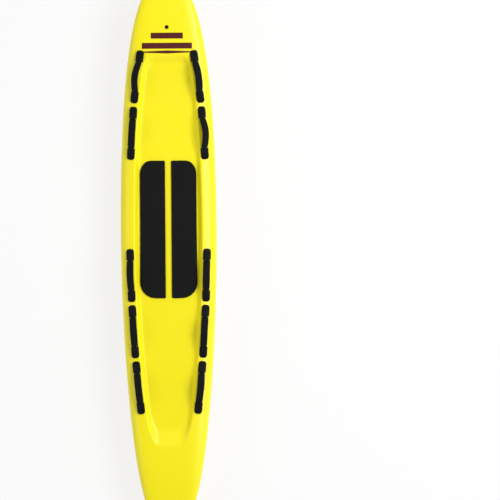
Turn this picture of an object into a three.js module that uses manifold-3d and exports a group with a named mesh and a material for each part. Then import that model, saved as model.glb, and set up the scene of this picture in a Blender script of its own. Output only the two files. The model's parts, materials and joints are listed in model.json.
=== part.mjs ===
// Prone rescue board: a foam and fibreglass hull with a recessed deck, ten padded strap handles, two knee
// pads, a vent plug and a fin in a slot box. Millimetres. The nose points along +X, port is +Y and the deck
// is up. The origin lies on the flat of the bottom, at mid-length on the centreline.

import * as THREE from 'three';
import { mergeVertices } from 'three/addons/utils/BufferGeometryUtils.js';
import Module from 'manifold-3d';

const wasm = await Module();
wasm.setup();

// Hull
const boardLength = 3200;
const boardWidth = 560;
const boardThickness = 150;
const noseRockerHeight = 180;
const tailRockerHeight = 60;
const skinWall = 4;
const stringerWidth = 6;
const fitGap = 0.3;

// Places along the board, as shares of its length from the middle. Each handle place is a group's front end.
const widestPlaceShare = 0.0375;
const noseRockerStartShare = 0.1094;
const tailRockerStartShare = -0.1406;
const wellFrontShare = 0.366;
const wellBackShare = -0.347;
const frontHandlePlaceShare = 0.374;
const rearHandlePlaceShare = 0.0144;
const padPlaceShare = 0.0494;
const ventPlaceShare = 0.415;
const slotPlaceShare = -0.2147;

// Hull curves, as exponents and as shares of the sizes that they shape
const noseOutlineShares = [2.3, 2.8];
const tailOutlineShares = [1.75, 2.75];
const noseRockerShare = 2.2;
const tailRockerShare = 2;
const taperShares = [3, 0.6];
const railShare = 0.42;
const deckCurveShares = [7, 2.6];
const bilgeCurveShares = [2.4, 2];
const flatBottomShare = 0.6;

// Rider's recess in the deck
const wellDepth = 34;
const wellWallWidth = 30;
const wellFrontRun = 90;
const wellBackRun = 210;
const wellSideRun = 54;
const narrowTopShare = 0.5;
const narrowFootShare = 0.5;

// Where the hull's rows and columns of points lie, as shares of each stretch
const tipRowShares = [0, 0.006, 0.03, 0.09, 0.2, 0.4, 0.68];
const wellEndRowShares = [0, 0.33, 0.67, 1];
const middleRows = 8;
const floorColumnShares = [0.5, 1];
const wallColumnShares = [0.33, 0.67, 1];
const railColumnShares = [0.4, 0.7, 0.88, 0.97, 1];
const bilgeColumnShares = [0.38, 0.64, 0.83, 0.95, 1];

// Handles, which are alike but for their lean
const handleLength = 308;
const handleSpacing = 18;
const handleInset = 56;
const handleInsetShare = 0.25;
const capLength = 65;
const capWidth = 44;
const capHeight = 24;
const capChamfer = 4;
const capBaseDepth = 8;
const rimMargin = 1;
const strapWidth = 25;
const strapThickness = 2.2;
const strapTabHeight = 7;
const strapEndWall = 6;
const strapExitHeight = 17;
const strapTwistStart = 2;
const gripRise = 32;
const gripWidth = 38;
const gripThickness = 15;
const gripEndGap = 6;
const boreClearance = 0.5;
const screwPlace = 19;
const screwRadius = 3;
const screwHoleClearance = 0.4;
const screwBite = 4;
const insertRadius = 8;
const insertDepth = 24;
const insertSink = 3.5;

// Each cap ring is placed along the cap, across it and up it from its outer end
const capRingShares = [
  [0, 0.62, 0.26],
  [0.05, 0.86, 0.38],
  [0.15, 1, 0.5],
  [0.48, 1, 0.76],
  [0.78, 1, 0.95],
  [1, 1, 1],
];

// A sleeve's rings lie along half of it, and its section is given across and up
const gripRingShares = [1, 0.9, 0.5, 0];
const gripSwellShares = [0.84, 0.98, 1, 1];
const gripSectionShares = [
  [1, 0.3],
  [0.72, 0.92],
  [-0.72, 0.92],
  [-1, 0.3],
  [-1, -0.3],
  [-0.72, -0.92],
  [0.72, -0.92],
  [1, -0.3],
];

// How far each handle leans outboard, from the nose, as the sine of its angle
const leftLeanShares = [0.4, 0, 0.1, 0, 0];
const rightLeanShares = [0.25, 0.45, 0, 0, 0.1];

// Knee pads
const padLength = 800;
const padThickness = 10;
const padInnerEdge = 18;
const padOuterEdge = 164;
const padCornerLength = 78;
const padCornerWidth = 62;
const padBevel = 3;
const padCornerSteps = 6;

// Vent plug
const ventFlangeRadius = 11.5;
const ventFlangeHeight = 3;
const ventBarrelRadius = 8.5;
const ventDepth = 20;
const ventSeatRadius = 7;
const ventSeatDepth = 1.5;
const ventBoreRadius = 3.4;
const ventScrewRadius = 3;
const ventHeadRadius = 6.5;
const ventHeadHeight = 2.4;
const ventScrewLength = 15;
const ventSealWall = 1.6;
const ventSealHeight = 1;
const ventSlotWidth = 1.6;
const ventSlotDepth = 1.2;
const roundSides = 16;

// Fin box, which lies along the rocker's slope at its own middle
const slotLength = 267;
const slotWidth = 9.6;
const slotDepth = 25;
const boxWall = 8;
const boxEndWall = 11;
const boxFloor = 3;
const flangeWidth = 5;
const flangeThickness = 3.5;
const collarWall = 2.5;
const trackHeight = 4;
const trackReach = 3;
const trackPlace = 14;
const notchLength = 13;

// Fin and its hardware
const finTabLength = 165;
const finTabDepth = 21;
const finSideClearance = 0.4;
const finEndClearance = 1.5;
const finDepth = 140;
const finTipChord = 35;
const finTipThickness = 3;
const finEarLength = 15;
const finEarThickness = 3;
const finEarPlace = 5;
const rollPinRadius = 1.5;
const rollPinInset = 12;
const rollPinHoleClearance = 0.3;
const trackEndClearance = 0.5;
const nutLength = 12;
const nutThickness = 3;
const finScrewRadius = 2;
const finHeadRadius = 4;
const finHeadHeight = 2.4;
const finScrewPlace = 8;
const finScrewEnd = 4;
const finSlotWidth = 1.2;
const finSlotDepth = 1;
const smallSides = 8;

// The blade's rings go down from the base while the chord shrinks, and its foil starts at the leading edge
const finRingShares = [[0, 0], [0.22, 0.09], [0.48, 0.29], [0.72, 0.57], [0.9, 0.84], [1, 1]];
const foilShares = [
  [0, 0],
  [0.08, 0.6],
  [0.35, 1],
  [0.7, 0.62],
  [1, 0.12],
  [1, -0.12],
  [0.7, -0.62],
  [0.35, -1],
  [0.08, -0.6],
];

// Cuts run past the surfaces that they open by this much
const overrun = 8;

const halfLength = boardLength / 2;
const coreInset = skinWall + fitGap;
const widestPlace = boardLength * widestPlaceShare;
const noseRockerStart = boardLength * noseRockerStartShare;
const tailRockerStart = boardLength * tailRockerStartShare;
const wellFront = boardLength * wellFrontShare;
const wellBack = boardLength * wellBackShare;
const ventPlace = boardLength * ventPlaceShare;
const slotMiddle = boardLength * slotPlaceShare;
const padFront = boardLength * padPlaceShare + padLength / 2;
const padBack = padFront - padLength;

// Materials
const gelcoat = { color: 0xfff41a, roughness: 0.12, metalness: 0 };
const foam = { color: 0xf4f1e6, roughness: 0.9, metalness: 0 };
const timber = { color: 0xc89a5e, roughness: 0.65, metalness: 0 };
const padFoam = { color: 0x15191b, roughness: 0.85, metalness: 0 };
const webbingCloth = { color: 0x101315, roughness: 0.8, metalness: 0 };
const sleeveCloth = { color: 0x14171a, roughness: 0.75, metalness: 0 };
const blackPlastic = { color: 0x111416, roughness: 0.5, metalness: 0 };
const sealRubber = { color: 0x0d0e10, roughness: 0.7, metalness: 0 };
const steel = { color: 0xb9bcc0, roughness: 0.3, metalness: 1 };

function piece(name, geometry, look) {
  const mesh = new THREE.Mesh(geometry, new THREE.MeshStandardMaterial({ ...look, flatShading: true }));
  mesh.name = name;
  return mesh;
}

// Solids for joining and cutting
function solidOf(geometry) {
  const plain = geometry.clone();
  plain.deleteAttribute('normal');
  plain.deleteAttribute('uv');
  const merged = mergeVertices(plain);
  return new wasm.Manifold(new wasm.Mesh({
    numProp: 3,
    vertProperties: Float32Array.from(merged.attributes.position.array),
    triVerts: Uint32Array.from(merged.index.array),
  }));
}

function geometryOf(solid) {
  const mesh = solid.getMesh();
  const geometry = new THREE.BufferGeometry();
  geometry.setAttribute('position', new THREE.BufferAttribute(mesh.vertProperties, 3));
  geometry.setIndex(new THREE.BufferAttribute(mesh.triVerts, 1));
  return geometry;
}

function moved(geometry, x, y, z) {
  return geometry.translate(x, y, z);
}

// An upright cylinder from one height to another
function post(radius, low, high, sides) {
  const geometry = new THREE.CylinderGeometry(radius, radius, high - low, sides).rotateX(Math.PI / 2);
  return moved(geometry, 0, 0, (low + high) / 2);
}

// A box between two heights, centred on a place along X
function block(length, width, low, high, place) {
  return moved(new THREE.BoxGeometry(length, width, high - low), place, 0, (low + high) / 2);
}

function geometryFrom(points, faces) {
  const geometry = new THREE.BufferGeometry();
  geometry.setAttribute('position', new THREE.Float32BufferAttribute(points.flatMap((p) => p.toArray()), 3));
  geometry.setIndex(faces.flat());
  return geometry;
}

function signedVolume(points, faces) {
  const sixths = faces.map(([a, b, c]) => points[a].dot(points[b].clone().cross(points[c])));
  return sixths.reduce((sum, v) => sum + v, 0) / 6;
}

// A closed solid through rings that all have the same number of points, turned so that its faces point out
function loft(rings) {
  const points = rings.flat();
  const count = rings[0].length;
  const faces = [];
  for (let i = 0; i + 1 < rings.length; i += 1) {
    for (let k = 0; k < count; k += 1) {
      const a = i * count + k;
      const b = i * count + (k + 1) % count;
      faces.push([a, b, b + count], [a, b + count, a + count]);
    }
  }
  const last = (rings.length - 1) * count;
  for (let k = 1; k + 1 < count; k += 1) {
    faces.push([0, k + 1, k], [last, last + k, last + k + 1]);
  }
  const outward = signedVolume(points, faces) > 0;
  return geometryFrom(points, outward ? faces : faces.map(([a, b, c]) => [a, c, b]));
}

// Hull form: outline, rocker and thickness along the board, and how far in from the rail the handles sit
function halfWidthAt(x) {
  const ahead = x >= widestPlace;
  const run = ahead ? halfLength - widestPlace : halfLength + widestPlace;
  const [fullness, roundness] = ahead ? noseOutlineShares : tailOutlineShares;
  const share = Math.min(1, Math.abs(x - widestPlace) / run);
  return boardWidth / 2 * (1 - share ** fullness) ** (1 / roundness);
}

function rockerAt(x) {
  if (x > noseRockerStart) {
    return noseRockerHeight * ((x - noseRockerStart) / (halfLength - noseRockerStart)) ** noseRockerShare;
  }
  const share = Math.max(0, tailRockerStart - x) / (tailRockerStart + halfLength);
  return tailRockerHeight * share ** tailRockerShare;
}

function thicknessAt(x) {
  const share = Math.min(1, Math.abs(x) / halfLength);
  return boardThickness * (1 - share ** taperShares[0]) ** taperShares[1];
}

function railHeightAt(x) {
  return rockerAt(x) + railShare * thicknessAt(x);
}

function handleInsetAt(x) {
  return handleInset + handleInsetShare * (boardWidth / 2 - halfWidthAt(x));
}

// How a width or a height shrinks when its surface moves inward, without ever crossing zero
function shrunk(size, inset) {
  return size > 0 ? size * size / (size + inset) : 0;
}

// The recess has rounded corners in plan and a wall that eases in and out
function wellTopAt(x) {
  const width = halfWidthAt(x);
  return Math.max(width - handleInsetAt(x) - capWidth / 2 - rimMargin, width * narrowTopShare);
}

function wellFootAt(x) {
  const top = wellTopAt(x);
  return Math.max(top - wellWallWidth, top * narrowFootShare);
}

function wellDropAt(x, y) {
  const ahead = (x - (wellFront - wellFrontRun)) / wellFrontRun;
  const behind = (wellBack + wellBackRun - x) / wellBackRun;
  const aside = (Math.abs(y) - (wellTopAt(x) - wellSideRun)) / wellSideRun;
  const reach = Math.hypot(Math.max(0, ahead, behind), Math.max(0, aside));
  const climb = Math.min(1, Math.max(0, 1 - reach) * wellSideRun / wellWallWidth);
  return wellDepth * climb * climb * (3 - 2 * climb);
}

// Heights of the deck and the bottom, on the outside or moved inward
function deckHeight(x, y, width, inset) {
  const rise = shrunk((1 - railShare) * thicknessAt(x), inset);
  const share = Math.min(1, Math.abs(y) / width);
  const arch = (1 - share ** deckCurveShares[0]) ** (1 / deckCurveShares[1]);
  return railHeightAt(x) + fitGap + rise * arch - wellDropAt(x, y);
}

function bottomHeight(x, y, width, inset) {
  const drop = shrunk(railShare * thicknessAt(x), inset);
  const share = Math.max(0, Math.min(1, Math.abs(y) / width) - flatBottomShare) / (1 - flatBottomShare);
  const arch = (1 - share ** bilgeCurveShares[0]) ** (1 / bilgeCurveShares[1]);
  return railHeightAt(x) - drop * arch;
}

function deckColumns(x, width) {
  const top = wellTopAt(x);
  const foot = wellFootAt(x);
  return [
    ...floorColumnShares.map((share) => foot * share),
    ...wallColumnShares.map((share) => foot + (top - foot) * share),
    ...railColumnShares.map((share) => top + (width - top) * share),
  ];
}

function bottomColumns(x, width) {
  const flat = width * flatBottomShare;
  return [flat, ...bilgeColumnShares.map((share) => flat + (width - flat) * share)];
}

// Rows of points from tail to nose, closest at the tips and at the ends of the recess
function hullRows() {
  const noseRun = halfLength - wellFront;
  const tailRun = halfLength + wellBack;
  const frontFoot = wellFront - wellFrontRun * wellWallWidth / wellSideRun;
  const backFoot = wellBack + wellBackRun * wellWallWidth / wellSideRun;
  const tail = tipRowShares.map((share) => tailRun * share - halfLength);
  const back = wellEndRowShares.map((share) => wellBack + (backFoot - wellBack) * share);
  const front = wellEndRowShares.map((share) => frontFoot + (wellFront - frontFoot) * share);
  const nose = tipRowShares.map((share) => halfLength - noseRun * share).reverse();
  const middle = [];
  for (let i = 1; i < middleRows; i += 1) {
    middle.push(backFoot + (frontFoot - backFoot) * i / middleRows);
  }
  return [...tail, ...back, ...middle, ...front, ...nose];
}

const rows = hullRows();

// One sheet of points, whose rows at the tips are a single point
function sheet(columns, height, inset) {
  return rows.map((row) => {
    const width = shrunk(halfWidthAt(row), inset);
    const x = row * (1 - inset / halfLength);
    if (width === 0) {
      return [new THREE.Vector3(x, 0, height(x, 0, boardWidth, inset))];
    }
    const side = columns(row, width);
    const across = [...side.map((y) => -y).reverse(), 0, ...side];
    return across.map((y) => new THREE.Vector3(x, y, height(x, y, width, inset)));
  });
}

const deckSheet = (inset) => sheet(deckColumns, deckHeight, inset);
const bottomSheet = (inset) => sheet(bottomColumns, bottomHeight, inset);

// The faces of one sheet, with diagonals that mirror each other across the centreline
function weave(numbers, facesUp) {
  const faces = [];
  for (let i = 0; i + 1 < numbers.length; i += 1) {
    const here = numbers[i];
    const next = numbers[i + 1];
    const count = Math.max(here.length, next.length);
    for (let j = 0; j + 1 < count; j += 1) {
      const a = here[Math.min(j, here.length - 1)];
      const b = next[Math.min(j, next.length - 1)];
      const c = next[Math.min(j + 1, next.length - 1)];
      const d = here[Math.min(j + 1, here.length - 1)];
      const port = 2 * j + 1 >= count;
      const pair = port ? [[a, b, d], [b, c, d]] : [[a, b, c], [a, c, d]];
      faces.push(...pair.filter(([p, q, r]) => p !== q && q !== r && r !== p));
    }
  }
  return facesUp ? faces : faces.map(([p, q, r]) => [p, r, q]);
}

// The solid between two sheets that share their rows, closed along both rails. Where two such solids meet
// at the rail, the flip keeps the diagonals of their rims alike.
function between(upper, lower, flip = false) {
  const points = [];
  const numbered = (rowsOfPoints) => rowsOfPoints.map((row) => row.map((p) => points.push(p) - 1));
  const top = numbered(upper);
  const under = numbered(lower);
  const faces = [...weave(top, true), ...weave(under, false)];
  for (let i = 0; i + 1 < top.length; i += 1) {
    const port = [top[i].at(-1), top[i + 1].at(-1), under[i].at(-1), under[i + 1].at(-1)];
    const starboard = [top[i + 1][0], top[i][0], under[i + 1][0], under[i][0]];
    for (const [a, b, c, d] of [port, starboard]) {
      faces.push(...(flip ? [[a, b, d], [a, d, c]] : [[a, b, c], [b, d, c]]));
    }
  }
  return geometryFrom(points, faces);
}

const hullForm = between(deckSheet(0), bottomSheet(0));
const coreForm = between(deckSheet(coreInset), bottomSheet(coreInset));

// The hull or its core, moved up by a gap and seen from a piece's own frame, to seat that piece on it
function seenFrom(frame, form, lift) {
  return solidOf(moved(form.clone(), 0, 0, lift).applyMatrix4(frame.clone().invert()));
}

// Handle frames: X along the two anchors, Z up and Y to port, from the middle of the line between them
function deckPlace(x, side) {
  const width = halfWidthAt(x);
  const y = width - handleInsetAt(x);
  return new THREE.Vector3(x, side * y, deckHeight(x, y, width, 0));
}

function handleFrame(frontEnd, side) {
  const front = deckPlace(frontEnd - capLength / 2, side);
  const rear = deckPlace(frontEnd - handleLength + capLength / 2, side);
  const along = front.clone().sub(rear).normalize();
  const across = new THREE.Vector3(0, 0, 1).cross(along).normalize();
  const up = along.clone().cross(across);
  return new THREE.Matrix4().makeBasis(along, across, up).setPosition(front.add(rear).divideScalar(2));
}

// The strap's line in a handle's frame: an arch between the caps, then a ramp down to a flat tab in each cap
const exitPlace = handleLength / 2 - capLength;
const exitSlope = gripRise * Math.PI / 2 / exitPlace;
const rampRun = 2 * (strapExitHeight - strapTabHeight) / exitSlope;

function strapLine(u) {
  const out = Math.abs(u);
  const sign = Math.sign(u);
  if (out <= exitPlace) {
    const angle = Math.PI / 2 * u / exitPlace;
    return { w: strapExitHeight + gripRise * Math.cos(angle), slope: -exitSlope * Math.sin(angle) };
  }
  const share = Math.min(1, (out - exitPlace) / rampRun);
  const fall = strapExitHeight - strapTabHeight;
  return { w: strapTabHeight + fall * (1 - share) ** 2, slope: -sign * 2 * fall * (1 - share) / rampRun };
}

// One ring of a strap or sleeve, square to the strap's line and leaned about the line between the mouths
// of the caps
function ring(u, outline, lean) {
  const { w, slope } = strapLine(u);
  const tilt = Math.atan(slope);
  const axis = new THREE.Vector3(1, 0, 0);
  return outline.map(([v, t]) => {
    const point = new THREE.Vector3(u - t * Math.sin(tilt), v, w + t * Math.cos(tilt) - strapExitHeight);
    return point.applyAxisAngle(axis, lean).add(new THREE.Vector3(0, 0, strapExitHeight));
  });
}

function bothWays(places) {
  return [...places.map((u) => -u), ...places.slice(0, -1).reverse()];
}

function bandOutline(clearance) {
  const v = strapWidth / 2 + clearance;
  const t = strapThickness / 2 + clearance;
  return [[v, -t], [v, t], [-v, t], [-v, -t]];
}

const gripHalf = exitPlace - gripEndGap;
const gripPlaces = gripRingShares.map((share) => gripHalf * share);
const tabEnd = handleLength / 2 - strapEndWall;
const tabStart = exitPlace + rampRun;
const screwFromMiddle = handleLength / 2 - screwPlace;

function strapBand(clearance, lean) {
  const outer = [tabEnd + clearance, tabStart, exitPlace + rampRun / 2, exitPlace - strapTwistStart];
  const places = bothWays([...outer, ...gripPlaces]);
  return loft(places.map((u) => ring(u, bandOutline(clearance), Math.abs(u) <= gripHalf ? lean : 0)));
}

function webbing(lean) {
  let solid = solidOf(strapBand(0, lean));
  for (const side of [1, -1]) {
    const eyelet = post(screwRadius + screwHoleClearance, 0, strapExitHeight, smallSides);
    solid = solid.subtract(solidOf(moved(eyelet, side * screwFromMiddle, 0, 0)));
  }
  return geometryOf(solid);
}

// The sleeve swells from its gathered ends, and the strap runs through its bore
function grip(lean) {
  const places = bothWays(gripPlaces);
  const swells = [...gripSwellShares, ...gripSwellShares.slice(0, -1).reverse()];
  const outer = places.map((u, i) => {
    const v = gripWidth / 2 * swells[i];
    const t = gripThickness / 2 * swells[i];
    return ring(u, gripSectionShares.map((share) => [share[0] * v, share[1] * t]), lean);
  });
  const bore = bandOutline(boreClearance);
  const past = gripHalf + overrun / 2;
  const inner = [-past, ...places, past].map((u) => ring(u, bore, lean));
  return geometryOf(solidOf(loft(outer)).subtract(solidOf(loft(inner))));
}

// An end cap: a hood over the strap's tab, seated on the deck, with the screw and the potted insert below it
function anchor(frame, end) {
  const rings = capRingShares.map(([along, across, up]) => {
    const u = end * (handleLength / 2 - capLength * along);
    const v = capWidth / 2 * across;
    const top = capHeight * up;
    const outline = [[v, -capBaseDepth], [v, top - capChamfer], [v - capChamfer, top]];
    const mirrored = outline.map(([a, b]) => [-a, b]).reverse();
    return [...outline, ...mirrored].map(([a, b]) => new THREE.Vector3(u, a, b));
  });
  const place = end * screwFromMiddle;
  const shank = moved(post(screwRadius, -insertDepth, strapTabHeight + screwBite, smallSides), place, 0, 0);
  const insert = moved(post(insertRadius, -insertDepth, -insertSink, smallSides), place, 0, 0);
  return geometryOf(
    solidOf(loft(rings))
      .subtract(seenFrom(frame, hullForm, fitGap))
      .subtract(solidOf(strapBand(fitGap, 0)))
      .add(solidOf(shank))
      .add(solidOf(insert)),
  );
}

function handleParts(name, frontEnd, side, leanShare) {
  const frame = handleFrame(frontEnd, side);
  const lean = -side * Math.asin(leanShare);
  const group = new THREE.Group();
  group.applyMatrix4(frame);
  group.add(
    piece(`${name}_webbing`, webbing(lean), webbingCloth),
    piece(`${name}_grip`, grip(lean), sleeveCloth),
    piece(`${name}_front_anchor`, anchor(frame, 1), blackPlastic),
    piece(`${name}_rear_anchor`, anchor(frame, -1), blackPlastic),
  );
  const pockets = [1, -1].map((end) => {
    const hole = post(insertRadius + fitGap, -insertDepth - fitGap, overrun, smallSides);
    return moved(hole, end * screwFromMiddle, 0, 0).applyMatrix4(frame);
  });
  return { group, pockets };
}

const handlePitch = handleLength + handleSpacing;
const frontHandlePlace = boardLength * frontHandlePlaceShare;
const rearHandlePlace = boardLength * rearHandlePlaceShare;
const handlePlaces = [
  frontHandlePlace,
  frontHandlePlace - handlePitch,
  rearHandlePlace,
  rearHandlePlace - handlePitch,
  rearHandlePlace - 2 * handlePitch,
];
const handles = handlePlaces.flatMap((place, i) => [
  handleParts(`left_handle_${i + 1}`, place, 1, leftLeanShares[i]),
  handleParts(`right_handle_${i + 1}`, place, -1, rightLeanShares[i]),
]);

// Vent plug, square to the deck at its place
function ventFrame() {
  const width = halfWidthAt(ventPlace);
  const ahead = deckHeight(ventPlace + ventFlangeRadius, 0, width, 0);
  const behind = deckHeight(ventPlace - ventFlangeRadius, 0, width, 0);
  const pitch = Math.atan2(behind - ahead, 2 * ventFlangeRadius);
  const middle = new THREE.Vector3(ventPlace, 0, (ahead + behind) / 2 + fitGap);
  return new THREE.Matrix4().makeRotationY(pitch).setPosition(middle);
}

function turned(profile) {
  const points = [...profile, profile[0]].map(([r, z]) => new THREE.Vector2(r, z));
  return new THREE.LatheGeometry(points, roundSides).rotateX(Math.PI / 2);
}

const ventSeat = ventFlangeHeight - ventHeadHeight - ventSeatDepth;
const ventHeadUnder = ventSeat + 2 * fitGap + ventSealHeight;

function ventBody() {
  return turned([
    [ventBoreRadius, -ventDepth],
    [ventBarrelRadius, -ventDepth],
    [ventBarrelRadius, 0],
    [ventFlangeRadius, 0],
    [ventFlangeRadius - ventFlangeHeight / 2, ventFlangeHeight],
    [ventSeatRadius, ventFlangeHeight],
    [ventSeatRadius, ventSeat],
    [ventBoreRadius, ventSeat],
  ]);
}

function ventSeal() {
  return turned([
    [ventBoreRadius, ventSeat + fitGap],
    [ventBoreRadius + ventSealWall, ventSeat + fitGap],
    [ventBoreRadius + ventSealWall, ventSeat + fitGap + ventSealHeight],
    [ventBoreRadius, ventSeat + fitGap + ventSealHeight],
  ]);
}

function slottedScrew(radius, headRadius, low, headLow, high, cutWidth, cutDepth) {
  const shank = solidOf(post(radius, low, headLow + (high - headLow) / 2, roundSides));
  const head = solidOf(post(headRadius, headLow, high, roundSides));
  const cut = block(3 * headRadius, cutWidth, high - cutDepth, high + overrun, 0);
  return geometryOf(shank.add(head).subtract(solidOf(cut)));
}

function ventGroup() {
  const group = new THREE.Group();
  group.applyMatrix4(ventFrame());
  const headTop = ventHeadUnder + ventHeadHeight;
  const low = ventHeadUnder - ventScrewLength;
  group.add(
    piece('vent_body', ventBody(), blackPlastic),
    piece('vent_seal', ventSeal(), sealRubber),
    piece('vent_screw', slottedScrew(
      ventScrewRadius, ventHeadRadius, low, ventHeadUnder, headTop, ventSlotWidth, ventSlotDepth,
    ), blackPlastic),
  );
  return group;
}

// Fin box frame: X forward along the bottom's slope, Z up into the hull, from the bottom at the slot's middle
function boxFrame() {
  const ahead = rockerAt(slotMiddle + slotLength / 2);
  const behind = rockerAt(slotMiddle - slotLength / 2);
  const pitch = Math.atan2(behind - ahead, slotLength);
  const middle = new THREE.Vector3(slotMiddle, 0, rockerAt(slotMiddle));
  return new THREE.Matrix4().makeRotationY(pitch).setPosition(middle);
}

const boxLength = slotLength + 2 * boxEndWall;
const boxWidth = slotWidth + 2 * boxWall;
const boxDepth = slotDepth + boxFloor;

// The box and its flange lie inside the hull, larger by a gap where they are the pocket in the core
function boxOutside(gap) {
  const body = block(boxLength + 2 * gap, boxWidth + 2 * gap, -overrun, boxDepth + gap, 0);
  const length = boxLength + 2 * flangeWidth + 2 * gap;
  const top = coreInset + flangeThickness + gap;
  const flange = block(length, boxWidth + 2 * flangeWidth + 2 * gap, -overrun, top, 0);
  return solidOf(body).add(solidOf(flange));
}

// Only the collar round the slot and its notch comes through the bottom skin
function boxCollar(gap) {
  const edge = 2 * (collarWall + gap);
  const top = coreInset + flangeThickness;
  const rim = block(slotLength + edge, slotWidth + edge, -overrun, top, 0);
  const bulge = block(notchLength + edge, slotWidth + 2 * trackReach + edge, -overrun, top, 0);
  return solidOf(rim).add(solidOf(bulge));
}

function finBox() {
  const frame = boxFrame();
  const slot = solidOf(block(slotLength, slotWidth, -2 * overrun, slotDepth, 0));
  const trackLow = trackPlace - trackHeight / 2;
  const trackHigh = trackPlace + trackHeight / 2;
  const track = solidOf(block(slotLength, slotWidth + 2 * trackReach, trackLow, trackHigh, 0));
  const notch = solidOf(block(notchLength, slotWidth + 2 * trackReach, -2 * overrun, trackHigh, 0));
  return geometryOf(
    boxOutside(0)
      .intersect(seenFrom(frame, coreForm, 0))
      .add(boxCollar(0).intersect(seenFrom(frame, hullForm, 0)))
      .subtract(slot)
      .subtract(track)
      .subtract(notch),
  );
}

// Fin: a base tab in the slot, an ear in front for the screw, and a foiled blade below the bottom
const tabRear = -slotLength / 2 + finEndClearance;
const tabFront = tabRear + finTabLength;
const tabWidth = slotWidth - 2 * finSideClearance;
const finScrewX = tabFront + finScrewPlace;
const rollPinX = tabRear + rollPinInset;

function finBlade() {
  const rings = finRingShares.map(([down, back]) => {
    const chord = finTipChord * back + finTabLength * (1 - back);
    const thickness = finTipThickness * down + tabWidth * (1 - down);
    const z = finEarPlace / 2 - (finDepth + finEarPlace / 2) * down;
    return foilShares.map(([along, side]) => (
      new THREE.Vector3(tabRear + chord * (1 - along), side * thickness / 2, z)
    ));
  });
  return loft(rings);
}

function fin() {
  const tab = solidOf(block(finTabLength, tabWidth, 0, finTabDepth, (tabRear + tabFront) / 2));
  const earLength = finEarLength + overrun;
  const earMiddle = tabFront + (finEarLength - overrun) / 2;
  const ear = solidOf(block(earLength, tabWidth, finEarPlace, finEarPlace + finEarThickness, earMiddle));
  const screwHole = moved(
    post(finScrewRadius + fitGap, -overrun, finTabDepth, smallSides), finScrewX, 0, 0,
  );
  const pinHole = new THREE.CylinderGeometry(
    rollPinRadius + rollPinHoleClearance, rollPinRadius + rollPinHoleClearance, 2 * slotWidth, smallSides,
  );
  return geometryOf(
    tab.add(ear).add(solidOf(finBlade()))
      .subtract(solidOf(screwHole))
      .subtract(solidOf(moved(pinHole, rollPinX, 0, trackPlace))),
  );
}

function finRollPin() {
  const length = slotWidth + 2 * trackReach - 2 * trackEndClearance;
  const pin = new THREE.CylinderGeometry(rollPinRadius, rollPinRadius, length, smallSides);
  return moved(pin, rollPinX, 0, trackPlace);
}

function finPlateNut() {
  const width = slotWidth + 2 * trackReach - 2 * trackEndClearance;
  const low = trackPlace - nutThickness / 2;
  const plate = block(nutLength, width, low, low + nutThickness, finScrewX);
  const hole = moved(post(finScrewRadius + fitGap, 0, slotDepth, smallSides), finScrewX, 0, 0);
  return geometryOf(solidOf(plate).subtract(solidOf(hole)));
}

function finScrew() {
  const headTop = fitGap - finEarPlace;
  const end = -trackPlace - finScrewEnd;
  const screw = slottedScrew(
    finScrewRadius, finHeadRadius, end, headTop, headTop + finHeadHeight, finSlotWidth, finSlotDepth,
  );
  return moved(screw.rotateX(Math.PI), finScrewX, 0, 0);
}

function finGroup() {
  const group = new THREE.Group();
  group.applyMatrix4(boxFrame());
  group.add(
    piece('fin_box', finBox(), blackPlastic),
    piece('fin', fin(), blackPlastic),
    piece('fin_roll_pin', finRollPin(), steel),
    piece('fin_plate_nut', finPlateNut(), steel),
    piece('fin_screw', finScrew(), steel),
  );
  return group;
}

// Knee pads: bevelled blanks, kept between the recess floor and the same floor moved up by their thickness
function padOutline(inset) {
  const inner = padInnerEdge + inset;
  const outer = padOuterEdge - inset;
  const front = padFront - inset;
  const back = padBack + inset;
  const points = [new THREE.Vector2(front, inner), new THREE.Vector2(back, inner)];
  for (const [end, place] of [[-1, back], [1, front]]) {
    for (let i = 0; i <= padCornerSteps; i += 1) {
      const turn = Math.PI / 2 * (end < 0 ? i : padCornerSteps - i) / padCornerSteps;
      const along = place - end * padCornerLength * (1 - Math.cos(turn));
      const aside = outer - padCornerWidth * (1 - Math.sin(turn));
      points.push(new THREE.Vector2(along, aside));
    }
  }
  return points;
}

function kneePad(side) {
  const floor = deckHeight(padBack, padInnerEdge, halfWidthAt(padBack), 0);
  const rings = [-overrun, padThickness + overrun].map((rise) => {
    const outline = padOutline(padBevel * rise / padThickness);
    return outline.map((p) => new THREE.Vector3(p.x, side * p.y, floor + rise));
  });
  const still = new THREE.Matrix4();
  return geometryOf(
    solidOf(loft(rings))
      .intersect(seenFrom(still, hullForm, fitGap + padThickness))
      .subtract(seenFrom(still, hullForm, fitGap)),
  );
}

// Hull pieces, with their pockets cut
const pockets = handles.flatMap((handle) => handle.pockets);
const ventHole = post(ventBarrelRadius + fitGap, -ventDepth - fitGap, overrun, roundSides);
const ventPocket = ventHole.applyMatrix4(ventFrame());

function inHull(solid) {
  return solidOf(geometryOf(solid).applyMatrix4(boxFrame()));
}

function drilled(solid, cutters) {
  return cutters.reduce((left, cutter) => left.subtract(solidOf(cutter)), solid);
}

function coreParts() {
  const tall = boardThickness + noseRockerHeight;
  const slab = (low, high) => solidOf(
    new THREE.BoxGeometry(boardLength, high - low, 2 * tall).translate(0, (low + high) / 2, tall / 2),
  );
  const edge = stringerWidth / 2 + fitGap;
  const cutters = [...pockets, ventPocket];
  const trimmed = drilled(solidOf(coreForm), cutters).subtract(inHull(boxOutside(fitGap)));
  return {
    stringer: geometryOf(trimmed.intersect(slab(-stringerWidth / 2, stringerWidth / 2))),
    left: geometryOf(trimmed.intersect(slab(edge, boardWidth))),
    right: geometryOf(trimmed.intersect(slab(-boardWidth, -edge))),
  };
}

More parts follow.
